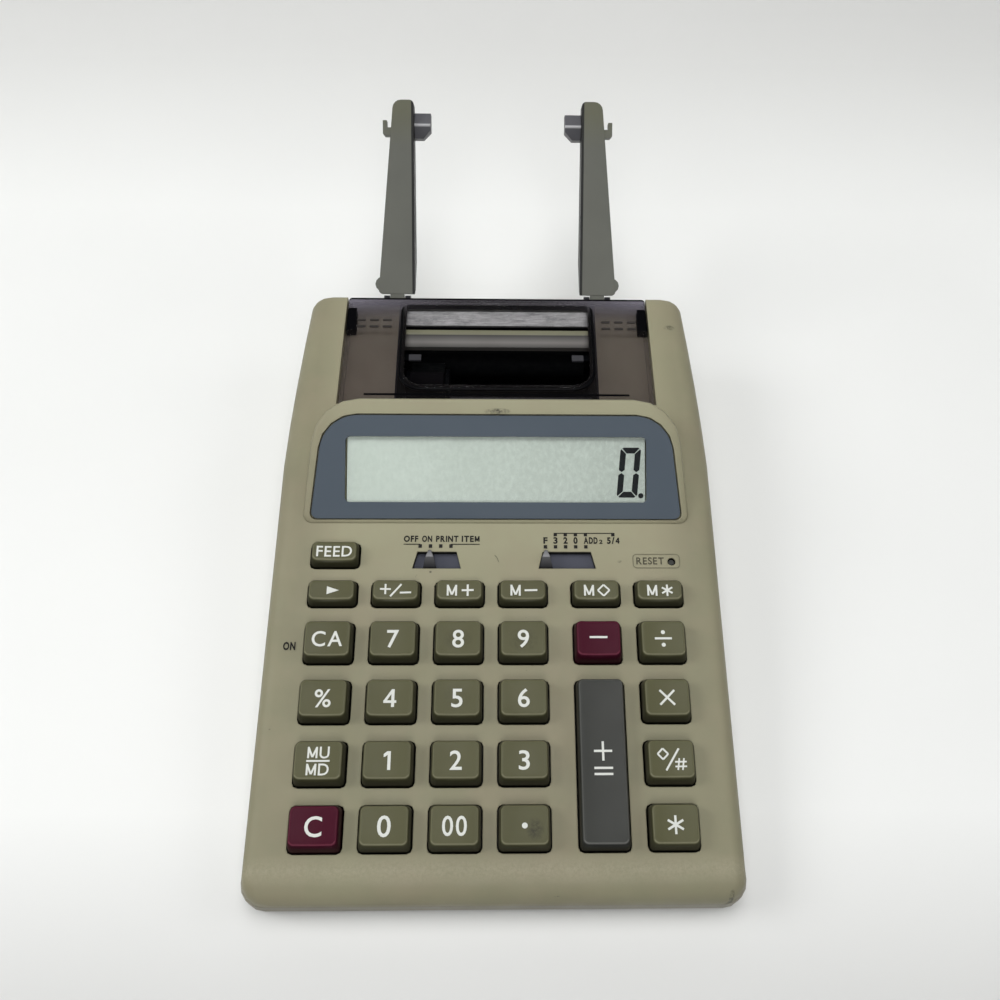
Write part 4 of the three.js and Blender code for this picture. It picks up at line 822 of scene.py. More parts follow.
def smoked_plastic(name):
    """See-through plastic tinted grey: what lies under it shows darker, and its skin mirrors a little.

    A painted reflection, a pale violet band near the rear, is strongest at both corners. The cover is black
    along its rear edge and at the notch on each side, and a thin black line near the front is a painted
    shadow.
    """
    n = Nodes(name)
    x, y, z = n.axes
    behind = n.math("SUBTRACT", COVER_REAR, y)
    side = n.math("ABSOLUTE", x)

    # Painted reflection: a pale violet band near the rear, strongest at both corners, mixed into the haze.
    band = n.times(n.between(behind, 9, 2), n.between(side, 14, 50, 0.45, 1.0))
    smear = n.between(n.noise(16, 4.0, 0.6, (1, 0.5, 1)), 0.35, 0.75, 0.03, 0.1)
    haze_and_reflection_colour = n.blend(band, linear(58, 53, 51), linear(132, 128, 140))
    haze_and_reflection = n.result("ShaderNodeBsdfDiffuse", {"Color": haze_and_reflection_colour})
    tint = n.result("ShaderNodeBsdfTransparent", {"Color": linear(233, 230, 235)})
    body = n.mix(n.math("MAXIMUM", smear, n.times(band, 0.6)), tint, haze_and_reflection)

    scratches = n.noise(1.1, 4.0, 0.8, (0.15, 1, 1))
    rough = n.between(scratches, 0.4, 0.8, 0.06, 0.2)
    normal = n.surface(0.3, [(scratches, 0.002)])
    skin = {"Color": linear(255, 255, 255), "Roughness": rough, "Normal": normal}
    gloss = n.result("ShaderNodeBsdfGlossy", skin)
    rim = n.times(n.result("ShaderNodeFresnel", {"IOR": 1.49, "Normal": normal}), 0.5)
    both = n.mix(rim, body, gloss)

    rear_edge = n.between(behind, 1.3, 1.1)
    notch = n.times(n.within(behind, 4.9, 14.4, soft=0.1), n.between(side, 48.7, 48.8))
    # Painted shadow: a thin black line near the cover's front edge.
    front_edge_shadow = n.within(behind, 40.6, 41.5, soft=0.1)
    front_edge_shadow = n.times(front_edge_shadow, n.between(side, 44.2, 44.0), n.between(z, 37.0, 37.2))
    dark = n.math("MAXIMUM", rear_edge, n.math("MAXIMUM", notch, front_edge_shadow))
    black = n.result("ShaderNodeBsdfDiffuse", {"Color": linear(10, 10, 12)})
    n.wire(n.mix(dark, both, black), n.output.inputs["Surface"])
    return n.material


def clear_pane(name):
    """A clear polished pane: almost all light passes, and the rest is mirrored more at glancing angles."""
    n = Nodes(name)
    clear = n.result("ShaderNodeBsdfTransparent", {"Color": linear(254, 255, 254)})
    rough = n.between(n.noise(0.9, 5.0, 0.8, (1, 0.12, 1)), 0.45, 0.85, 0.03, 0.16)
    gloss = n.result("ShaderNodeBsdfGlossy", {"Roughness": rough})
    rim = n.times(n.result("ShaderNodeFresnel", {"IOR": 1.45}), 0.8)
    n.wire(n.mix(rim, clear, gloss), n.output.inputs["Surface"])
    return n.material


def lcd_field(name):
    """The display's grey-green field: paler at the left in painted light, with fine paler scratches and
    faint clouds.
    """
    n = Nodes(name)
    # Painted light: paler at the left, darker towards the right.
    across = n.between(n.axes[0], -50, 50)
    tone = n.blend(across, linear(220, 229, 222), linear(188, 196, 190))
    scratches = n.between(n.noise(1.3, 5.0, 0.8, (1, 0.6, 1)), 0.42, 0.66)
    tone = n.blend(n.times(scratches, 0.4), tone, linear(240, 248, 242))
    clouds = n.between(n.noise(20), 0.4, 0.7)
    tone = n.blend(n.times(clouds, 0.12), tone, linear(165, 176, 165))
    return n.shade({"Base Color": tone, "Roughness": 0.35})


def table_top(name):
    """A pale table sheet with a very faint texture, and painted shade that greys it a little far behind and
    in front.
    """
    n = Nodes(name)
    y = n.math("ADD", n.axes[1], SHIFT)
    cloud = n.between(n.noise(160, 2.0), 0.3, 0.7)
    tone = n.blend(cloud, linear(240, 241, 239), linear(236, 237, 235))
    # Painted shade: a little greyer far behind and in front.
    far = n.times(n.between(y, 160, 300), 0.7)
    near = n.between(y, -100, -180)
    tone = n.blend(n.math("MAXIMUM", far, near), tone, linear(196, 196, 194))
    return n.shade({"Base Color": tone, "Roughness": 0.55})


def screen(colour):
    """A colour property as a screen colour, 0 to 255."""
    return [255 * level for level in colour]


def make_finishes(colours):
    """All finishes, by name. Each colour is what shows, lifted a little for the light on it."""
    # Each key paint gives painted shade down a cap's sides and a painted highlight along its lip.
    olive_paint = key_paint((22, 22, 14), (142, 140, 114), KEY_SOIL)
    maroon_paint = key_paint((36, 6, 16), (124, 62, 78))
    grey_paint = key_paint((13, 14, 12), (124, 124, 120))
    knob_paint = key_paint((30, 30, 33), (150, 150, 152))
    case, base, arm = screen(colours.case), screen(colours.base), screen(colours.arm)
    olive, maroon, grey = (screen(c) for c in (colours.olive_key, colours.maroon_key, colours.grey_key))
    return {
        "case": plastic("case_plastic", case, grain=0.02, edge=0.5, speck=0.5, paint=case_paint),
        "base": plastic("base_plastic", base, 0.55, grain=0.02, edge=0.4),
        "grip": plastic("cover_grip_plastic", (46, 42, 39)),
        "olive_key": plastic(
            "olive_key_plastic", olive, 0.4,
            grain=0.006, stain=0.05, speck=0.25, shine=0.16, paint=olive_paint,
        ),
        "maroon_key": plastic(
            "maroon_key_plastic", maroon, 0.36,
            grain=0.005, stain=0.04, shine=0.06, paint=maroon_paint,
        ),
        "grey_key": plastic(
            "grey_key_plastic", grey, 0.42,
            grain=0.006, stain=0.05, shine=0.14, paint=grey_paint,
        ),
        "arm": plastic("arm_plastic", arm, 0.42, grain=0.012, edge=0.3, shine=0.2, paint=arm_paint),
        "border": plastic("display_border_print", screen(colours.border), 0.48, edge=0.1, stain=0.0),
        "slot_floor": plastic("slot_floor_plastic", (80, 82, 92), 0.6, edge=0.1, shine=0.1),
        "knob": plastic("knob_plastic", (92, 92, 94), 0.4, grain=0.006, paint=knob_paint),
        "black": plastic("black_plastic", (4, 5, 7), 0.6, edge=0.2, shine=0.03),
        "lip": plastic("window_lip_plastic", (4, 4, 6), 0.3, edge=0.0, shine=0.04),
        "tab": plastic("printer_tab_plastic", (60, 60, 64), edge=0.1),
        "gear": plastic("gear_plastic", (205, 200, 186), edge=0.1),
        "olive_bar": plastic("tear_bar_plastic", (122, 121, 100), 0.4, edge=0.2, paint=bar_paint),
        "board": plastic("circuit_board_lacquer", (46, 84, 60), 0.35, edge=0.1),
        "ink": plastic("ink_felt", (7, 6, 8), 0.9, grain=0.05, shine=0.05),
        "lcd": lcd_field("lcd_field"),
        "pane": clear_pane("display_pane"),
        "smoked": smoked_plastic("smoked_cover"),
        "guide": metal("guide_steel", (144, 143, 144), 0.5, wear=(84, 84, 86)),
        "steel": metal("bright_steel", (120, 120, 122), 0.28),
        "motor": metal("motor_case", (170, 170, 172), 0.35),
        "black_rubber": rubber("black_rubber", (34, 34, 34)),
        "roller_rubber": rubber("roller_rubber", (4, 5, 6), 0.8, dust=0.01, shine=0.03),
        "grey_rubber": rubber("grey_rubber", (64, 64, 64)),
        "white_print": printed("white_legend", screen(colours.key_legend), 0.45, 0.05),
        "dark_print": printed("dark_legend", screen(colours.panel_print)),
        # Painted shade for the moulded frame and word by the reset hole; the second also draws a real
        # scratch.
        "moulded_frame_shade": printed("moulded_mark_shade", (116, 113, 92), 0.55),
        "moulded_word_shade_and_scratch": printed("moulded_letter_shade", (76, 73, 59), 0.55),
        "segment": printed("lcd_segment", (1, 6, 14), 0.5, 0.05),
        "table": table_top("table_sheet"),
    }


FINISHES = {}


def finish(name):
    """The material of one finish. All are made together when the first is asked for."""
    if not FINISHES:
        FINISHES.update(make_finishes(bpy.context.scene.calculator_colours))
    return FINISHES[name]


# Keys


class Key:
    """One key: its well in the panel, and the dished top that its cap and legend share."""

    def __init__(self, node, column, row):
        self.node = node
        self.finish = ODD_FINISHES.get(node, "olive_key")
        operator = column >= OPERATOR_COLUMN
        small = row >= FUNCTION_ROW
        tall = 2 * PITCH_Y if node == "key_plus" else 0.0
        wide = OPERATOR_WELL_WIDTH if operator else DIGIT_WELL[0]
        self.width = FUNCTION_WELL[0] if small else wide
        self.depth = FUNCTION_WELL[1] if small else DIGIT_WELL[1] + tall
        self.height = SMALL_KEY_HEIGHT if small else KEY_HEIGHT
        span = (COLUMNS - 1) * PITCH_X + OPERATOR_GAP
        self.x = column * PITCH_X + (OPERATOR_GAP if operator else 0.0) - span / 2
        self.front = row * PITCH_Y if row < FEED_ROW else FUNCTION_ROW * PITCH_Y + FEED_STEP

    def top(self, x, measures):
        """Height of the cap's top: highest at both sides, and lower between them by a parabola."""
        reach = self.width / 2 - measures.key_side_inset / MM
        share = np.clip((x - self.x) / reach, -1, 1)
        return self.height - measures.key_dish / MM * (1 - share**2)

    def middle_v(self):
        """Middle of the top face, behind its sloping front."""
        return self.front + self.depth / 2 + FACE_SETBACK


def all_keys():
    """The keys row by row from the front, and last the tall one, which takes up three rows."""
    rows = [
        "clear 0 00 point - total",
        "markup 1 2 3 - subtotal",
        "percent 4 5 6 - multiply",
        "clear_all 7 8 9 minus divide",
        "shift sign memory_plus memory_minus memory_subtotal memory_total",
        "feed",
    ]
    keys = []
    for row, names in enumerate(rows):
        columns = enumerate(names.split())
        keys += [Key("key_" + name, column, row) for column, name in columns if name != "-"]
    return [*keys, Key("key_plus", OPERATOR_COLUMN, 0)]


def cap_mesh(key, measures):
    """A moulded key cap: upright skirt, leaning sides, rounded edge and dished top.

    Each ring is a rounded rectangle. The side rings lean from the skirt's outline to the top's, the
    edge's rings follow a quarter circle, and the top's rings shrink towards a line down its middle, at the
    parabola's height. The shares say how much painted shade darkens a point down the sides, and how much
    painted highlight lightens it along the lip.
    """
    clearance, edge = measures.key_clearance / MM, measures.key_edge / MM
    insets = (measures.key_side_inset, measures.key_front_inset, measures.key_rear_inset)
    # Each ring gets a share of painted shade down the sides and of painted highlight along the lip.
    rings, wall_shades, lip_highlights = [], [], []

    def add(loop, height, wall_shade, lip=0.0):
        rings.append(with_height(loop, height))
        wall_shades.append(wall_shade)
        lip_highlights.append(lip)

    def outline(share, inset=0.0):
        """The cap's outline between the skirt at share 0 and the top's rim at share 1."""
        side, front, rear = (clearance + (lean / MM - clearance) * share + inset for lean in insets)
        x0, x1 = key.x - key.width / 2 + side, key.x + key.width / 2 - side
        radius = max(CORNER_RADIUS + CORNER_GROWTH * share - inset, 0.25)
        return rounded_rectangle(x0, x1, key.front + front, key.front + key.depth - rear, radius, 6, 8)

    for height in SKIRT_HEIGHTS:
        add(outline(0), height, 1.0)
    rim = 1 - edge / key.height
    for share in np.linspace(0, rim, 5):
        loop = outline(share**1.15, -WALL_BOW * math.sin(math.pi * share))
        droop = (key.top(loop[:, 0], measures) - key.height) * share**2
        add(loop, key.height * share + droop, 1 - 0.45 * share)
    for turn, wall_shade, lip in zip(np.linspace(0, math.pi / 2, 7)[1:], EDGE_WALL_SHADES, EDGE_LIP_HIGHLIGHTS):
        loop = outline(rim + (1 - rim) * math.sin(turn), edge * (1 - math.cos(turn)) * 0.75)
        add(loop, key.top(loop[:, 0], measures) - edge * (1 - math.sin(turn)), wall_shade, lip)
    last = rings[-1][:, :2]
    low, high = last.min(axis=0), last.max(axis=0)
    middle_v = (low[1] + high[1]) / 2
    slack = max(0.0, (high[1] - low[1]) / 2 - (high[0] - low[0]) / 2)
    spine_v = middle_v + np.clip(last[:, 1] - middle_v, -slack, slack)
    spine = np.column_stack([np.full(len(last), key.x), spine_v])
    for share in TOP_SHARES:
        loop = spine + (last - spine) * share
        add(loop, key.top(loop[:, 0], measures), 0.0)
    points, faces = ring_stack(rings)
    each = len(rings[0])
    frontness = np.where(points[:, 1] < low[1] + FRONT_REACH, 1.0, LIP_HIGHLIGHT_ELSEWHERE)
    return (points, faces), {"wall_shade": np.repeat(wall_shades, each), "lip": np.repeat(lip_highlights, each) * frontness}


def drawn_legends(w):
    """Legends made of bars, most of them w wide, and of dots and outlines, each about its key's middle."""
    memory = moved_mark(glyphs("M", 3.4), -2.2, 0)
    mark_up = moved_mark(glyphs("MU", 3.1), 0, 2.25)
    mark_down = moved_mark(glyphs("MD", 3.1), 0, -2.35)
    sign_plus = [bar(-3.0, 0.35, 3.2, 0.55), upright(-3.0, 0.35, 3.2, 0.55)]
    tall_plus = [bar(0, 2.4, 5.1, w), upright(0, 2.4, 5.3, w)]
    slash = stroke((-1.6, -3.0), (2.2, 3.0), 0.55)
    return {
        "key_point": [dot(0, 0, 0.78)],
        "key_total": star(0, 0, 2.45, w),
        "key_minus": [bar(0, 0.4, 5.2, w)],
        "key_divide": [bar(0, 0, 5.0, w), dot(0, 1.9, 0.6), dot(0, -1.9, 0.6)],
        "key_multiply": [stroke((-2.1, -2.1), (2.1, 2.1), w), stroke((-2.1, 2.1), (2.1, -2.1), w)],
        "key_markup": [mark_up, mark_down, bar(0, -0.05, 6.4, 0.5)],
        "key_subtotal": [*diamond(-2.3, 1.5, 1.5, 0.5), slash, *hash_sign(2.6, -1.3, 1.6, 0.45)],
        "key_shift": [patch([(-1.4, -1.25), (2.2, 0.0), (-1.4, 1.25)])],
        "key_sign": [*sign_plus, stroke((-1.5, -1.9), (1.7, 1.9), 0.55), bar(3.0, -0.75, 3.4, 0.55)],
        "key_memory_plus": [memory, bar(2.5, 0, 3.6, 0.6), upright(2.5, 0, 3.6, 0.6)],
        "key_memory_minus": [memory, bar(2.4, 0, 3.8, 0.6)],
        "key_memory_subtotal": [memory, *diamond(2.2, 0, 1.75, 0.5)],
        "key_memory_total": [memory, *star(2.3, 0, 1.8, 0.55)],
        "key_plus": [*tall_plus, bar(0, -2.25, 5.2, w), bar(0, -3.9, 5.2, w)],
    }


# Settings


def length_prop(name, description, default, low, high):
    """A length property, whose values are given in millimetres."""
    return bpy.props.FloatProperty(
        name=name, description=description, default=default * MM, min=low * MM, max=high * MM, unit="LENGTH"
    )


def colour_prop(name, description, red, green, blue):
    """A colour property, whose default is given as a screen colour, 0 to 255."""
    default = [level / 255 for level in (red, green, blue)]
    return bpy.props.FloatVectorProperty(
        name=name, description=description, default=default, min=0.0, max=1.0, subtype="COLOR_GAMMA"
    )


class CalculatorMeasures(bpy.types.PropertyGroup):
    """Sizes that a user may change"""

    key_clearance: length_prop("Key clearance", "Gap between a cap and its well", 0.45, 0.1, 1.0)
    key_side_inset: length_prop("Key side inset", "How far a cap's sides lean in", 1.05, 0.5, 2.0)
    key_front_inset: length_prop("Key front inset", "How far a cap's front leans back", 2.0, 0.5, 3.0)
    key_rear_inset: length_prop("Key rear inset", "How far a cap's rear leans in", 0.7, 0.5, 2.0)
    key_edge: length_prop("Key edge", "Radius of a cap's top edge", 0.75, 0.2, 1.5)
    key_dish: length_prop("Key dish", "Depth of the hollow in a cap's top", 0.55, 0.0, 1.0)
    legend_stroke: length_prop("Legend stroke", "Width of the bars in the larger signs", 0.63, 0.3, 1.0)
    lip_height: length_prop("Lip height", "Height of the lip round the cover's window", 0.4, 0.1, 1.0)
    lens: bpy.props.FloatProperty(
        name="Lens", description="Focal length of the camera, in mm", default=36.0, min=10.0, unit="CAMERA"
    )
    camera_pitch: bpy.props.FloatProperty(
        name="Camera pitch",
        description="How far the camera looks down from level",
        default=math.radians(57.22),
        subtype="ANGLE",
    )


class CalculatorColours(bpy.types.PropertyGroup):
    """Colours that a user may change"""

    case: colour_prop("Case", "Plastic of the top case", 138, 135, 110)
    base: colour_prop("Base", "Plastic of the bottom case and the battery door", 146, 142, 128)
    olive_key: colour_prop("Olive keys", "Plastic of the olive keys", 86, 85, 60)
    maroon_key: colour_prop("Maroon keys", "Plastic of the clear key and the minus key", 68, 20, 36)
    grey_key: colour_prop("Grey key", "Plastic of the tall plus key and the reset button", 62, 63, 60)
    arm: colour_prop("Paper arms", "Plastic of the two paper-roll arms", 99, 100, 93)
    border: colour_prop("Display border", "Print round the display's clear field", 70, 80, 90)
    key_legend: colour_prop("Key legends", "Print on the keys", 214, 216, 210)
    panel_print: colour_prop("Panel print", "Words, ticks and rules by the switches", 20, 18, 14)


# Operators


class CalculatorPiece:
    """What every operator of this add-on shares."""

    bl_options = {"REGISTER", "UNDO"}

    @property
    def measures(self):
        return bpy.context.scene.calculator_measures


class OBJECT_OT_calculator_case(CalculatorPiece, bpy.types.Operator):
    """Finishes the case, its feet and its battery door, and adds its printed marks and screws"""

    bl_idname = "object.calculator_case"
    bl_label = "Case and printed marks"

    def execute(self, context):
        dress("top_case", "case")
        dress("bottom_case", "base")
        dress("battery_door", "base")
        dress("battery_contact", "steel")
        for corner in ("front_left", "front_right", "rear_left", "rear_right"):
            dress("foot_" + corner, "black_rubber")
        self.print_panel_marks()
        self.draw_reset_shade_and_scratch()
        self.make_screws()
        return {"FINISHED"}

    def print_panel_marks(self):
        """Words, ticks and rules beside the two slide switches, and the word beside the clear-all key."""
        marks = [fitted_word(*word) for word in PRINT_SWITCH_WORDS]
        marks += [bar(*line) for line in PRINT_SWITCH_TICKS + PRINT_SWITCH_RULES]
        marks += [fitted_word(*word) for word in DECIMAL_SWITCH_WORDS]
        marks += [bar(*line) for line in [*DECIMAL_SWITCH_TICKS, DECIMAL_SWITCH_RULE]]
        marks.append(fitted_word(*CLEAR_ALL_WORD))
        print_marks("panel_marks", marks, flat(0), PANEL, "dark_print", "case")

    def draw_reset_shade_and_scratch(self):
        """The moulded word and thin moulded frame round the reset hole, drawn as painted shade, and a short
        scratch between the switches.
        """
        # The moulded frame shows only as painted shade.
        frame_line = outline_band(rounded_rectangle(41.8, 56.4, 82.4, 87.1, 1.3), 0.28)
        print_marks("reset_frame", [frame_line], flat(0), PANEL, "moulded_frame_shade", "case")
        scratch = [stroke((-0.5, 86.6), (0.3, 85.7), 0.14), stroke((0.3, 85.7), (0.7, 84.4), 0.1)]
        # The moulded word shows as painted shade; the scratch is a real mark.
        marks = [fitted_word(*RESET_WORD, weight=RESET_WEIGHT), *scratch]
        print_marks("reset_mark", marks, flat(0), PANEL, "moulded_word_shade_and_scratch", "case")

    def make_screws(self):
        """Six pan-head screws under the bottom case, below its screw posts, each with a cross slot drawn as
        a thin black cross of painted shade.
        """
        heads, slot_shades = [], []
        low, high = SCREW_SLOT_HEIGHTS
        for x in (-SCREW_X, SCREW_X):
            for y in SCREW_YS:
                rings = [with_height(circle(x, y, radius, 24), height) for radius, height in SCREW_RINGS]
                heads.append(ring_stack(rings))
                # Each cross slot is a thin black cross: painted shade where the slot is.
                for dx, dy in (SCREW_SLOT, SCREW_SLOT[::-1]):
                    slot_shades.append(box_mesh((x - dx, y - dy, low), (x + dx, y + dy, high)))
        make_piece("case_screws", joined(heads), LEVEL, "steel", "case", "bright_steel", smooth=False)
        make_piece("screw_slot_shades", joined(slot_shades), LEVEL, "black", "case", "bright_steel", smooth=False)


class OBJECT_OT_calculator_keys(CalculatorPiece, bpy.types.Operator):
    """Builds the smooth key caps and the legends on them, and finishes the mat and the board under them"""

    bl_idname = "object.calculator_keys"
    bl_label = "Keys and legends"

    def execute(self, context):
        drawn = drawn_legends(self.measures.legend_stroke / MM)
        for key in all_keys():
            mesh, shares = cap_mesh(key, self.measures)
            cap = (key.node + "_cap", mesh, PANEL, key.finish, key.node, key.finish)
            make_piece(*cap, replaces=[key.node], shares=shares)
            marks = drawn.get(key.node) or [glyphs(*LETTERED[key.node])]
            self.print_legend(key, [moved_mark(mark, key.x, key.middle_v()) for mark in marks])
        dress("key_mat", "grey_rubber")
        dress("main_board", "board")
        return {"FINISHED"}

    def print_legend(self, key, marks):
        """Lays a key's marks on its dished top."""

        def surface(x, v):
            return key.top(x, self.measures)

        print_marks(key.node + "_legend", marks, surface, PANEL, "white_print", key.node)


class OBJECT_OT_calculator_switches(CalculatorPiece, bpy.types.Operator):
    """Builds the slide switches' knobs and dust shields, and finishes their plate and the reset button"""

    bl_idname = "object.calculator_switches"
    bl_label = "Switches"

    def execute(self, context):
        dress("switch_plate", "slot_floor")
        dress("reset_button", "grey_key")
        low, high = SHIELD_HEIGHTS
        for node, (x, left, right) in SWITCHES.items():
            self.make_knob(node, x)
            strip = box_mesh((left, SHIELD_FRONT, low), (right, SHIELD_REAR, high))
            make_piece(node + "_shield", strip, PANEL, "slot_floor", node, "olive_key", smooth=False)
        return {"FINISHED"}

    def make_knob(self, node, x):
        """A wedge that narrows to the rear: its front, in painted shade, leans back to a short crest whose
        edge has a painted highlight.

        Each ring has two front points and two rear ones, and two of each kind of share, front and rear.
        """

        def ring(front_half, front, rear_half, rear, height):
            corners = [(-front_half, front), (front_half, front), (rear_half, rear), (-rear_half, rear)]
            return with_height(corners, height) + np.array([x, 0, 0])

        foot = ring(2.0, 82.65, 0.75, 87.5, -1.4)
        base = ring(2.0, 82.65, 0.75, 87.5, -0.3)
        crest = ring(1.25, 85.2, 0.45, 87.5, 2.1)
        top = ring(1.1, 85.35, 0.35, 87.35, 2.25)
        # Shares of painted shade down the front and of painted highlight along the crest's edge, two points
        # each.
        wall_shades = (1.0, 1.0, 1.0, 1.0, 1.0, 0.5, 0.0, 0.0)
        lip_highlights = (0.0, 0.0, 0.0, 0.0, 0.3, 0.0, 0.6, 0.0)
        shares = {"wall_shade": np.repeat(wall_shades, 2), "lip": np.repeat(lip_highlights, 2)}
        mesh = ring_stack([foot, base, crest, top])
        knob = (node + "_top", mesh, PANEL, "knob", node, "olive_key", False)
        make_piece(*knob, replaces=[node], shares=shares)


class OBJECT_OT_calculator_display(CalculatorPiece, bpy.types.Operator):
    """Builds the display's printed border, its clear pane and the figure that shows"""

    bl_idname = "object.calculator_display"
    bl_label = "Display"

    def execute(self, context):
        inner = rounded_rectangle(*FIELD, FIELD_RADIUS, 8, 90)
        self.make_border(inner)
        self.make_pane(inner)
        dress("lcd_panel", "lcd")
        self.print_figure()
        return {"FINISHED"}

    def make_border(self, inner):
        """A plate between the hood's outline and the field's: rings run from one outline to the other."""
        outer = seen_through(inner, rounded_polygon(BORDER_CORNERS), BORDER_MIDDLE)
        inset = outer + unit(BORDER_MIDDLE - outer) * BORDER_EDGE
        rings = [
            with_height(inner, BORDER_FOOT),
            with_height(inner, BORDER_HEIGHT),
            with_height(inset, BORDER_HEIGHT),
            with_height(outer, BORDER_HEIGHT - BORDER_EDGE),
            with_height(outer, BORDER_FOOT),
            with_height(inner, BORDER_FOOT),
        ]
        mesh = turned_out(ring_stack(rings, False, False))
        border = ("display_border", mesh, DISPLAY, "border", "case", "display_border", False)
        make_piece(*border, replaces=["display_window"])

    def make_pane(self, inner):
        """A thin plate just inside the field's outline."""
        x0, x1, y0, y1 = FIELD
        loop = inner + (np.array([(x0 + x1) / 2, (y0 + y1) / 2]) - inner) * 0.001
        pane = ring_stack([with_height(loop, height) for height in PANE_HEIGHTS])
        make_piece("display_pane", pane, DISPLAY, "pane", "case", "display_border", smooth=False)

    def print_figure(self):
        """A leaning seven-segment nought without its middle bar, and its point, just above the field.

        A point leans to the right by the lean times its height over the figure's foot.
        """
        left, right, low, high, width, lean = 37.65, 44.15, 8.1, 23.9, 1.85, 0.09
        gap, tip, shoulder = 0.16, 0.95, 0.55
        half = width / 2
        shapes = []
        for y, sign in ((low, 1), (high, -1)):
            inner = y + sign * width
            chamfer = y + sign * 0.3
            shapes.append(
                [
                    (left + tip, y),
                    (right - tip, y),
                    (right - shoulder, chamfer),
                    (right - width - gap, inner),
                    (left + width + gap, inner),
                    (left + shoulder, chamfer),
                ]
            )
        for x, sign in ((left, 1), (right, -1)):
            for end, toward in ((low, 1), (high, -1)):
                near = (low + high) / 2 - toward * gap
                shapes.append(
                    [
                        (x, end + toward * tip),
                        (x + sign * 0.32, end + toward * 0.5),
                        (x + sign * width, end + toward * (width + gap)),
                        (x + sign * width, near - toward * half * 0.7),
                        (x + sign * half, near),
                        (x, near - toward * half * 0.7),
                    ]
                )
        marks = [patch([(x + (y - low) * lean, y) for x, y in shape]) for shape in shapes]
        marks.append(dot(45.35, low + 0.6, 0.85))
        print_marks("display_figure", marks, flat(FIGURE_HEIGHT), DISPLAY, "segment", "case", lift=0.04)


class OBJECT_OT_calculator_printer(CalculatorPiece, bpy.types.Operator):
    """Finishes the printer mechanism, and adds its two tabs and the guide's rear edge"""

    bl_idname = "object.calculator_printer"
    bl_label = "Printer"

    def execute(self, context):
        dress("printer_frame", "black")
        dress("printer_motor", "motor")
        for gear in ("motor_pinion", "idler_gear", "platen_gear"):
            dress(gear, "gear")
        dress("platen_roller", "roller_rubber")
        dress("carriage_rail", "steel")
        dress("type_carriage", "black")
        dress("type_wheel", "roller_rubber")
        dress("ink_roller", "ink")
        dress("paper_guide", "guide")
        dress("tear_bar", "olive_bar")
        self.make_bars("printer_tabs", TABS, "tab")
        self.make_bars("tab_stems", TAB_STEMS, "black")
        edge = box_mesh(*GUIDE_EDGE)
        make_piece("guide_rear_edge", edge, LEVEL, "guide", "case", "guide_steel", smooth=False)
        return {"FINISHED"}

    def make_bars(self, name, ends, finish_name):
        """Level bars of the tabs' section, one between each pair of ends."""
        bars = [box_mesh((left, *TAB_LOW), (right, *TAB_HIGH)) for left, right in ends]
        make_piece(name, joined(bars), LEVEL, finish_name, "case", "black_plastic", smooth=False)


class OBJECT_OT_calculator_cover(CalculatorPiece, bpy.types.Operator):
    """Finishes the smoked printer cover, and adds its window's lip and its finger grips"""

    bl_idname = "object.calculator_cover"
    bl_label = "Printer cover"

    def execute(self, context):
        dress("printer_cover", "smoked")
        self.make_lip()
        self.make_grips()
        return {"FINISHED"}

    def make_lip(self):
        """A rounded lip round the window: rings spread from the opening outwards.

        Their height is the lip's height times the root of the sine of half a turn.
        """
        low, high = along_wing(WINDOW_FRONT), along_wing(WINDOW_REAR)
        lip_height = self.measures.lip_height / MM
        rings = []
        for share in np.linspace(0, 1, 9):
            spread = LIP_START + LIP_WIDTH * share
            half = WINDOW_HALF_WIDTH + spread
            radii = (6 + spread, 1 + spread)
            loop = rounded_rectangle(-half, half, low - spread, high + 0.3 * spread, radii, 8)
            rings.append(with_height(loop, lip_height * math.sin(math.pi * share) ** 0.5 + 0.04))
        rings.append(with_height(rings[-1][:, :2], LIP_SKIRT))
        rings.insert(0, with_height(rings[0][:, :2], LIP_FOOT))
        mesh = turned_out(ring_stack([*rings, rings[0]], False, False))
        make_piece("window_lip", mesh, WING, "lip", "printer_cover", "smoked_plastic")

    def make_grips(self):
        """Two rows of three low ridges at each rear corner of the cover."""
        width, depth = GRIP_SIZE
        ridges = []
        for x, y in GRIPS:
            v0 = along_wing(y)
            for x0 in (x, x + GRIP_PITCH, x + 2 * GRIP_PITCH):
                foot = rounded_rectangle(x0, x0 + width, v0, v0 + depth, 0.3, 3)
                top = rounded_rectangle(x0 + 0.25, x0 + width - 0.25, v0 + 0.25, v0 + depth - 0.2, 0.12, 3)
                levels = ((foot, -0.1), (foot, 0.2), (top, 0.42))
                ridges.append(ring_stack([with_height(*level) for level in levels]))
        make_piece("cover_grips", joined(ridges), WING, "grip", "printer_cover", "smoked_plastic", False)


class OBJECT_OT_calculator_arms(CalculatorPiece, bpy.types.Operator):
    """Finishes the two paper-roll arms"""

    bl_idname = "object.calculator_arms"
    bl_label = "Paper-roll arms"

    def execute(self, context):
        dress("left_paper_arm", "arm")
        dress("right_paper_arm", "arm")
        return {"FINISHED"}


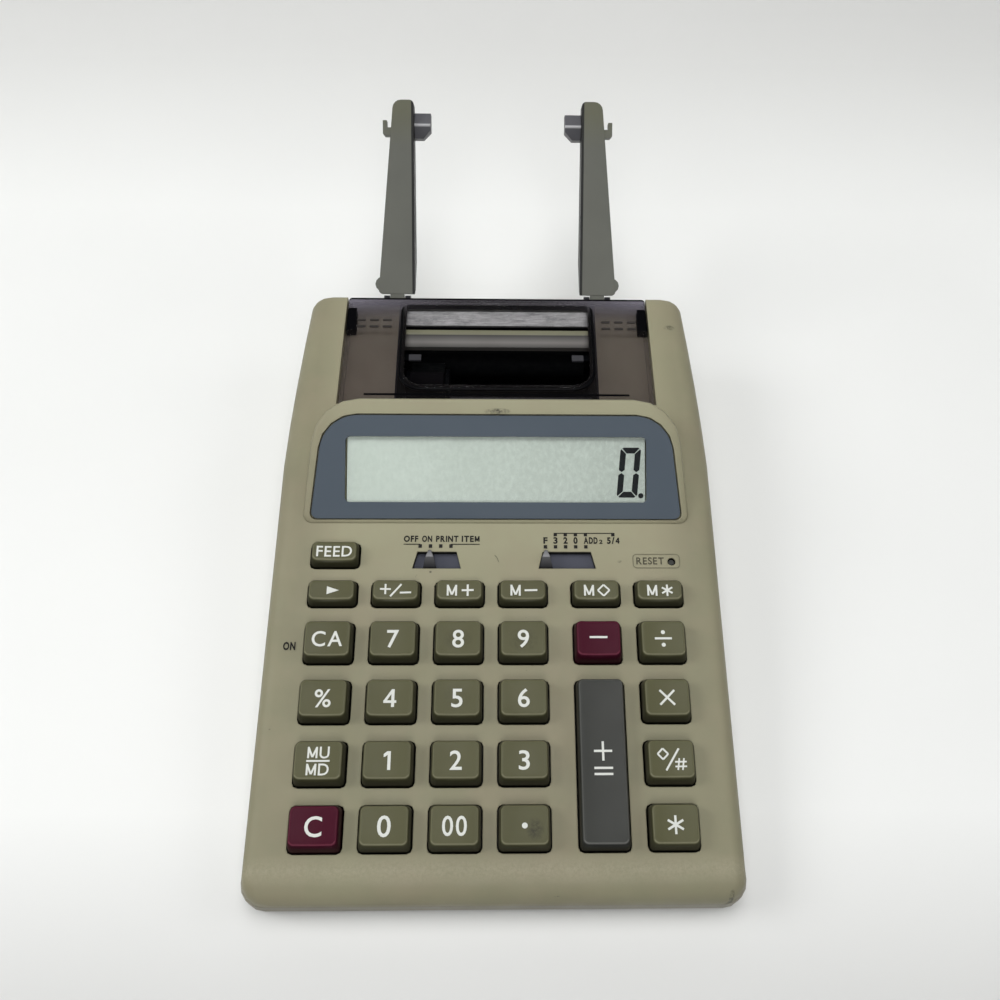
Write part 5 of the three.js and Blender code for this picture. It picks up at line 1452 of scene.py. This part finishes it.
class OBJECT_OT_calculator_stage(CalculatorPiece, bpy.types.Operator):
    """Adds the pale table, the soft light and the camera"""

    bl_idname = "object.calculator_stage"
    bl_label = "Table, light and camera"

    def execute(self, context):
        self.make_table()
        self.make_light(context)
        self.make_camera(context)
        return {"FINISHED"}

    def make_table(self):
        """A sheet that lies flat and then curves up far behind: a quarter circle joins both parts."""
        turns = np.linspace(0, math.pi / 2, 13)
        ys = TABLE_BEND_START + TABLE_BEND_RADIUS * np.sin(turns)
        zs = TABLE_BEND_RADIUS * (1 - np.cos(turns))
        profile = [(TABLE_FRONT, 0.0), *zip(ys, zs), (TABLE_BEND_START + TABLE_BEND_RADIUS, TABLE_WALL_TOP)]
        points = [(x, y, z) for y, z in profile for x in (-TABLE_HALF_WIDTH, TABLE_HALF_WIDTH)]
        faces = [(2 * i, 2 * i + 1, 2 * i + 3, 2 * i + 2) for i in range(len(profile) - 1)]
        table = make_object("table", (points, faces), LEVEL, "table")

    def make_light(self, context):
        """A faint even surround and four large soft lamps that aim at the middle of the frame."""
        world = bpy.data.worlds.new("surround")
        world.use_nodes = True
        sky = world.node_tree.nodes["Background"]
        sky.inputs["Color"].default_value = SKY_COLOUR
        sky.inputs["Strength"].default_value = SKY_STRENGTH
        context.scene.world = world
        for name, place, size, power in LAMPS:
            light = bpy.data.lights.new(name, "AREA")
            light.shape = "DISK"
            light.size = size
            light.energy = power
            lamp = bpy.data.objects.new(name, light)
            lamp.location = place
            x, y, z = place
            lamp.rotation_euler = (math.atan2(math.hypot(x, y), z), 0, math.atan2(x, -y))
            context.scene.collection.objects.link(lamp)

    def make_camera(self, context):
        """A camera close above the front edge, looking down."""
        data = bpy.data.cameras.new("camera")
        data.sensor_width = SENSOR_WIDTH
        data.lens = self.measures.lens
        data.shift_x = CAMERA_SHIFT
        data.clip_start = 0.01
        data.clip_end = 20.0
        camera = bpy.data.objects.new("camera", data)
        x, y, z = CAMERA_PLACE
        camera.location = (x * MM, (y + SHIFT) * MM, z * MM)
        tilt = math.pi / 2 - self.measures.camera_pitch
        camera.rotation_euler = (tilt, math.radians(CAMERA_ROLL), math.radians(CAMERA_TURN))
        context.scene.collection.objects.link(camera)
        context.scene.camera = camera
        context.scene.view_settings.view_transform = "Standard"


OPERATORS = [
    OBJECT_OT_calculator_case,
    OBJECT_OT_calculator_keys,
    OBJECT_OT_calculator_switches,
    OBJECT_OT_calculator_display,
    OBJECT_OT_calculator_printer,
    OBJECT_OT_calculator_cover,
    OBJECT_OT_calculator_arms,
    OBJECT_OT_calculator_stage,
]


class VIEW3D_PT_calculator(bpy.types.Panel):
    """Buttons for the calculator's pieces, and the sizes and colours that they share"""

    bl_label = "Printing calculator"
    bl_idname = "VIEW3D_PT_calculator"
    bl_space_type = "VIEW_3D"
    bl_region_type = "UI"
    bl_category = "Calculator"

    def draw(self, context):
        scene = context.scene
        for operator in OPERATORS:
            self.layout.operator(operator.bl_idname)
        for name in CalculatorMeasures.__annotations__:
            self.layout.prop(scene.calculator_measures, name)
        for name in CalculatorColours.__annotations__:
            self.layout.prop(scene.calculator_colours, name)


CLASSES = [CalculatorMeasures, CalculatorColours, *OPERATORS, VIEW3D_PT_calculator]


def register():
    for item in CLASSES:
        bpy.utils.register_class(item)
    bpy.types.Scene.calculator_measures = bpy.props.PointerProperty(type=CalculatorMeasures)
    bpy.types.Scene.calculator_colours = bpy.props.PointerProperty(type=CalculatorColours)


def unregister():
    del bpy.types.Scene.calculator_colours
    del bpy.types.Scene.calculator_measures
    for item in reversed(CLASSES):
        bpy.utils.unregister_class(item)


def main():
    register()
    bpy.ops.object.calculator_case()
    bpy.ops.object.calculator_keys()
    bpy.ops.object.calculator_switches()
    bpy.ops.object.calculator_display()
    bpy.ops.object.calculator_printer()
    bpy.ops.object.calculator_cover()
    bpy.ops.object.calculator_arms()
    bpy.ops.object.calculator_stage()


if __name__ == "__main__":
    main()
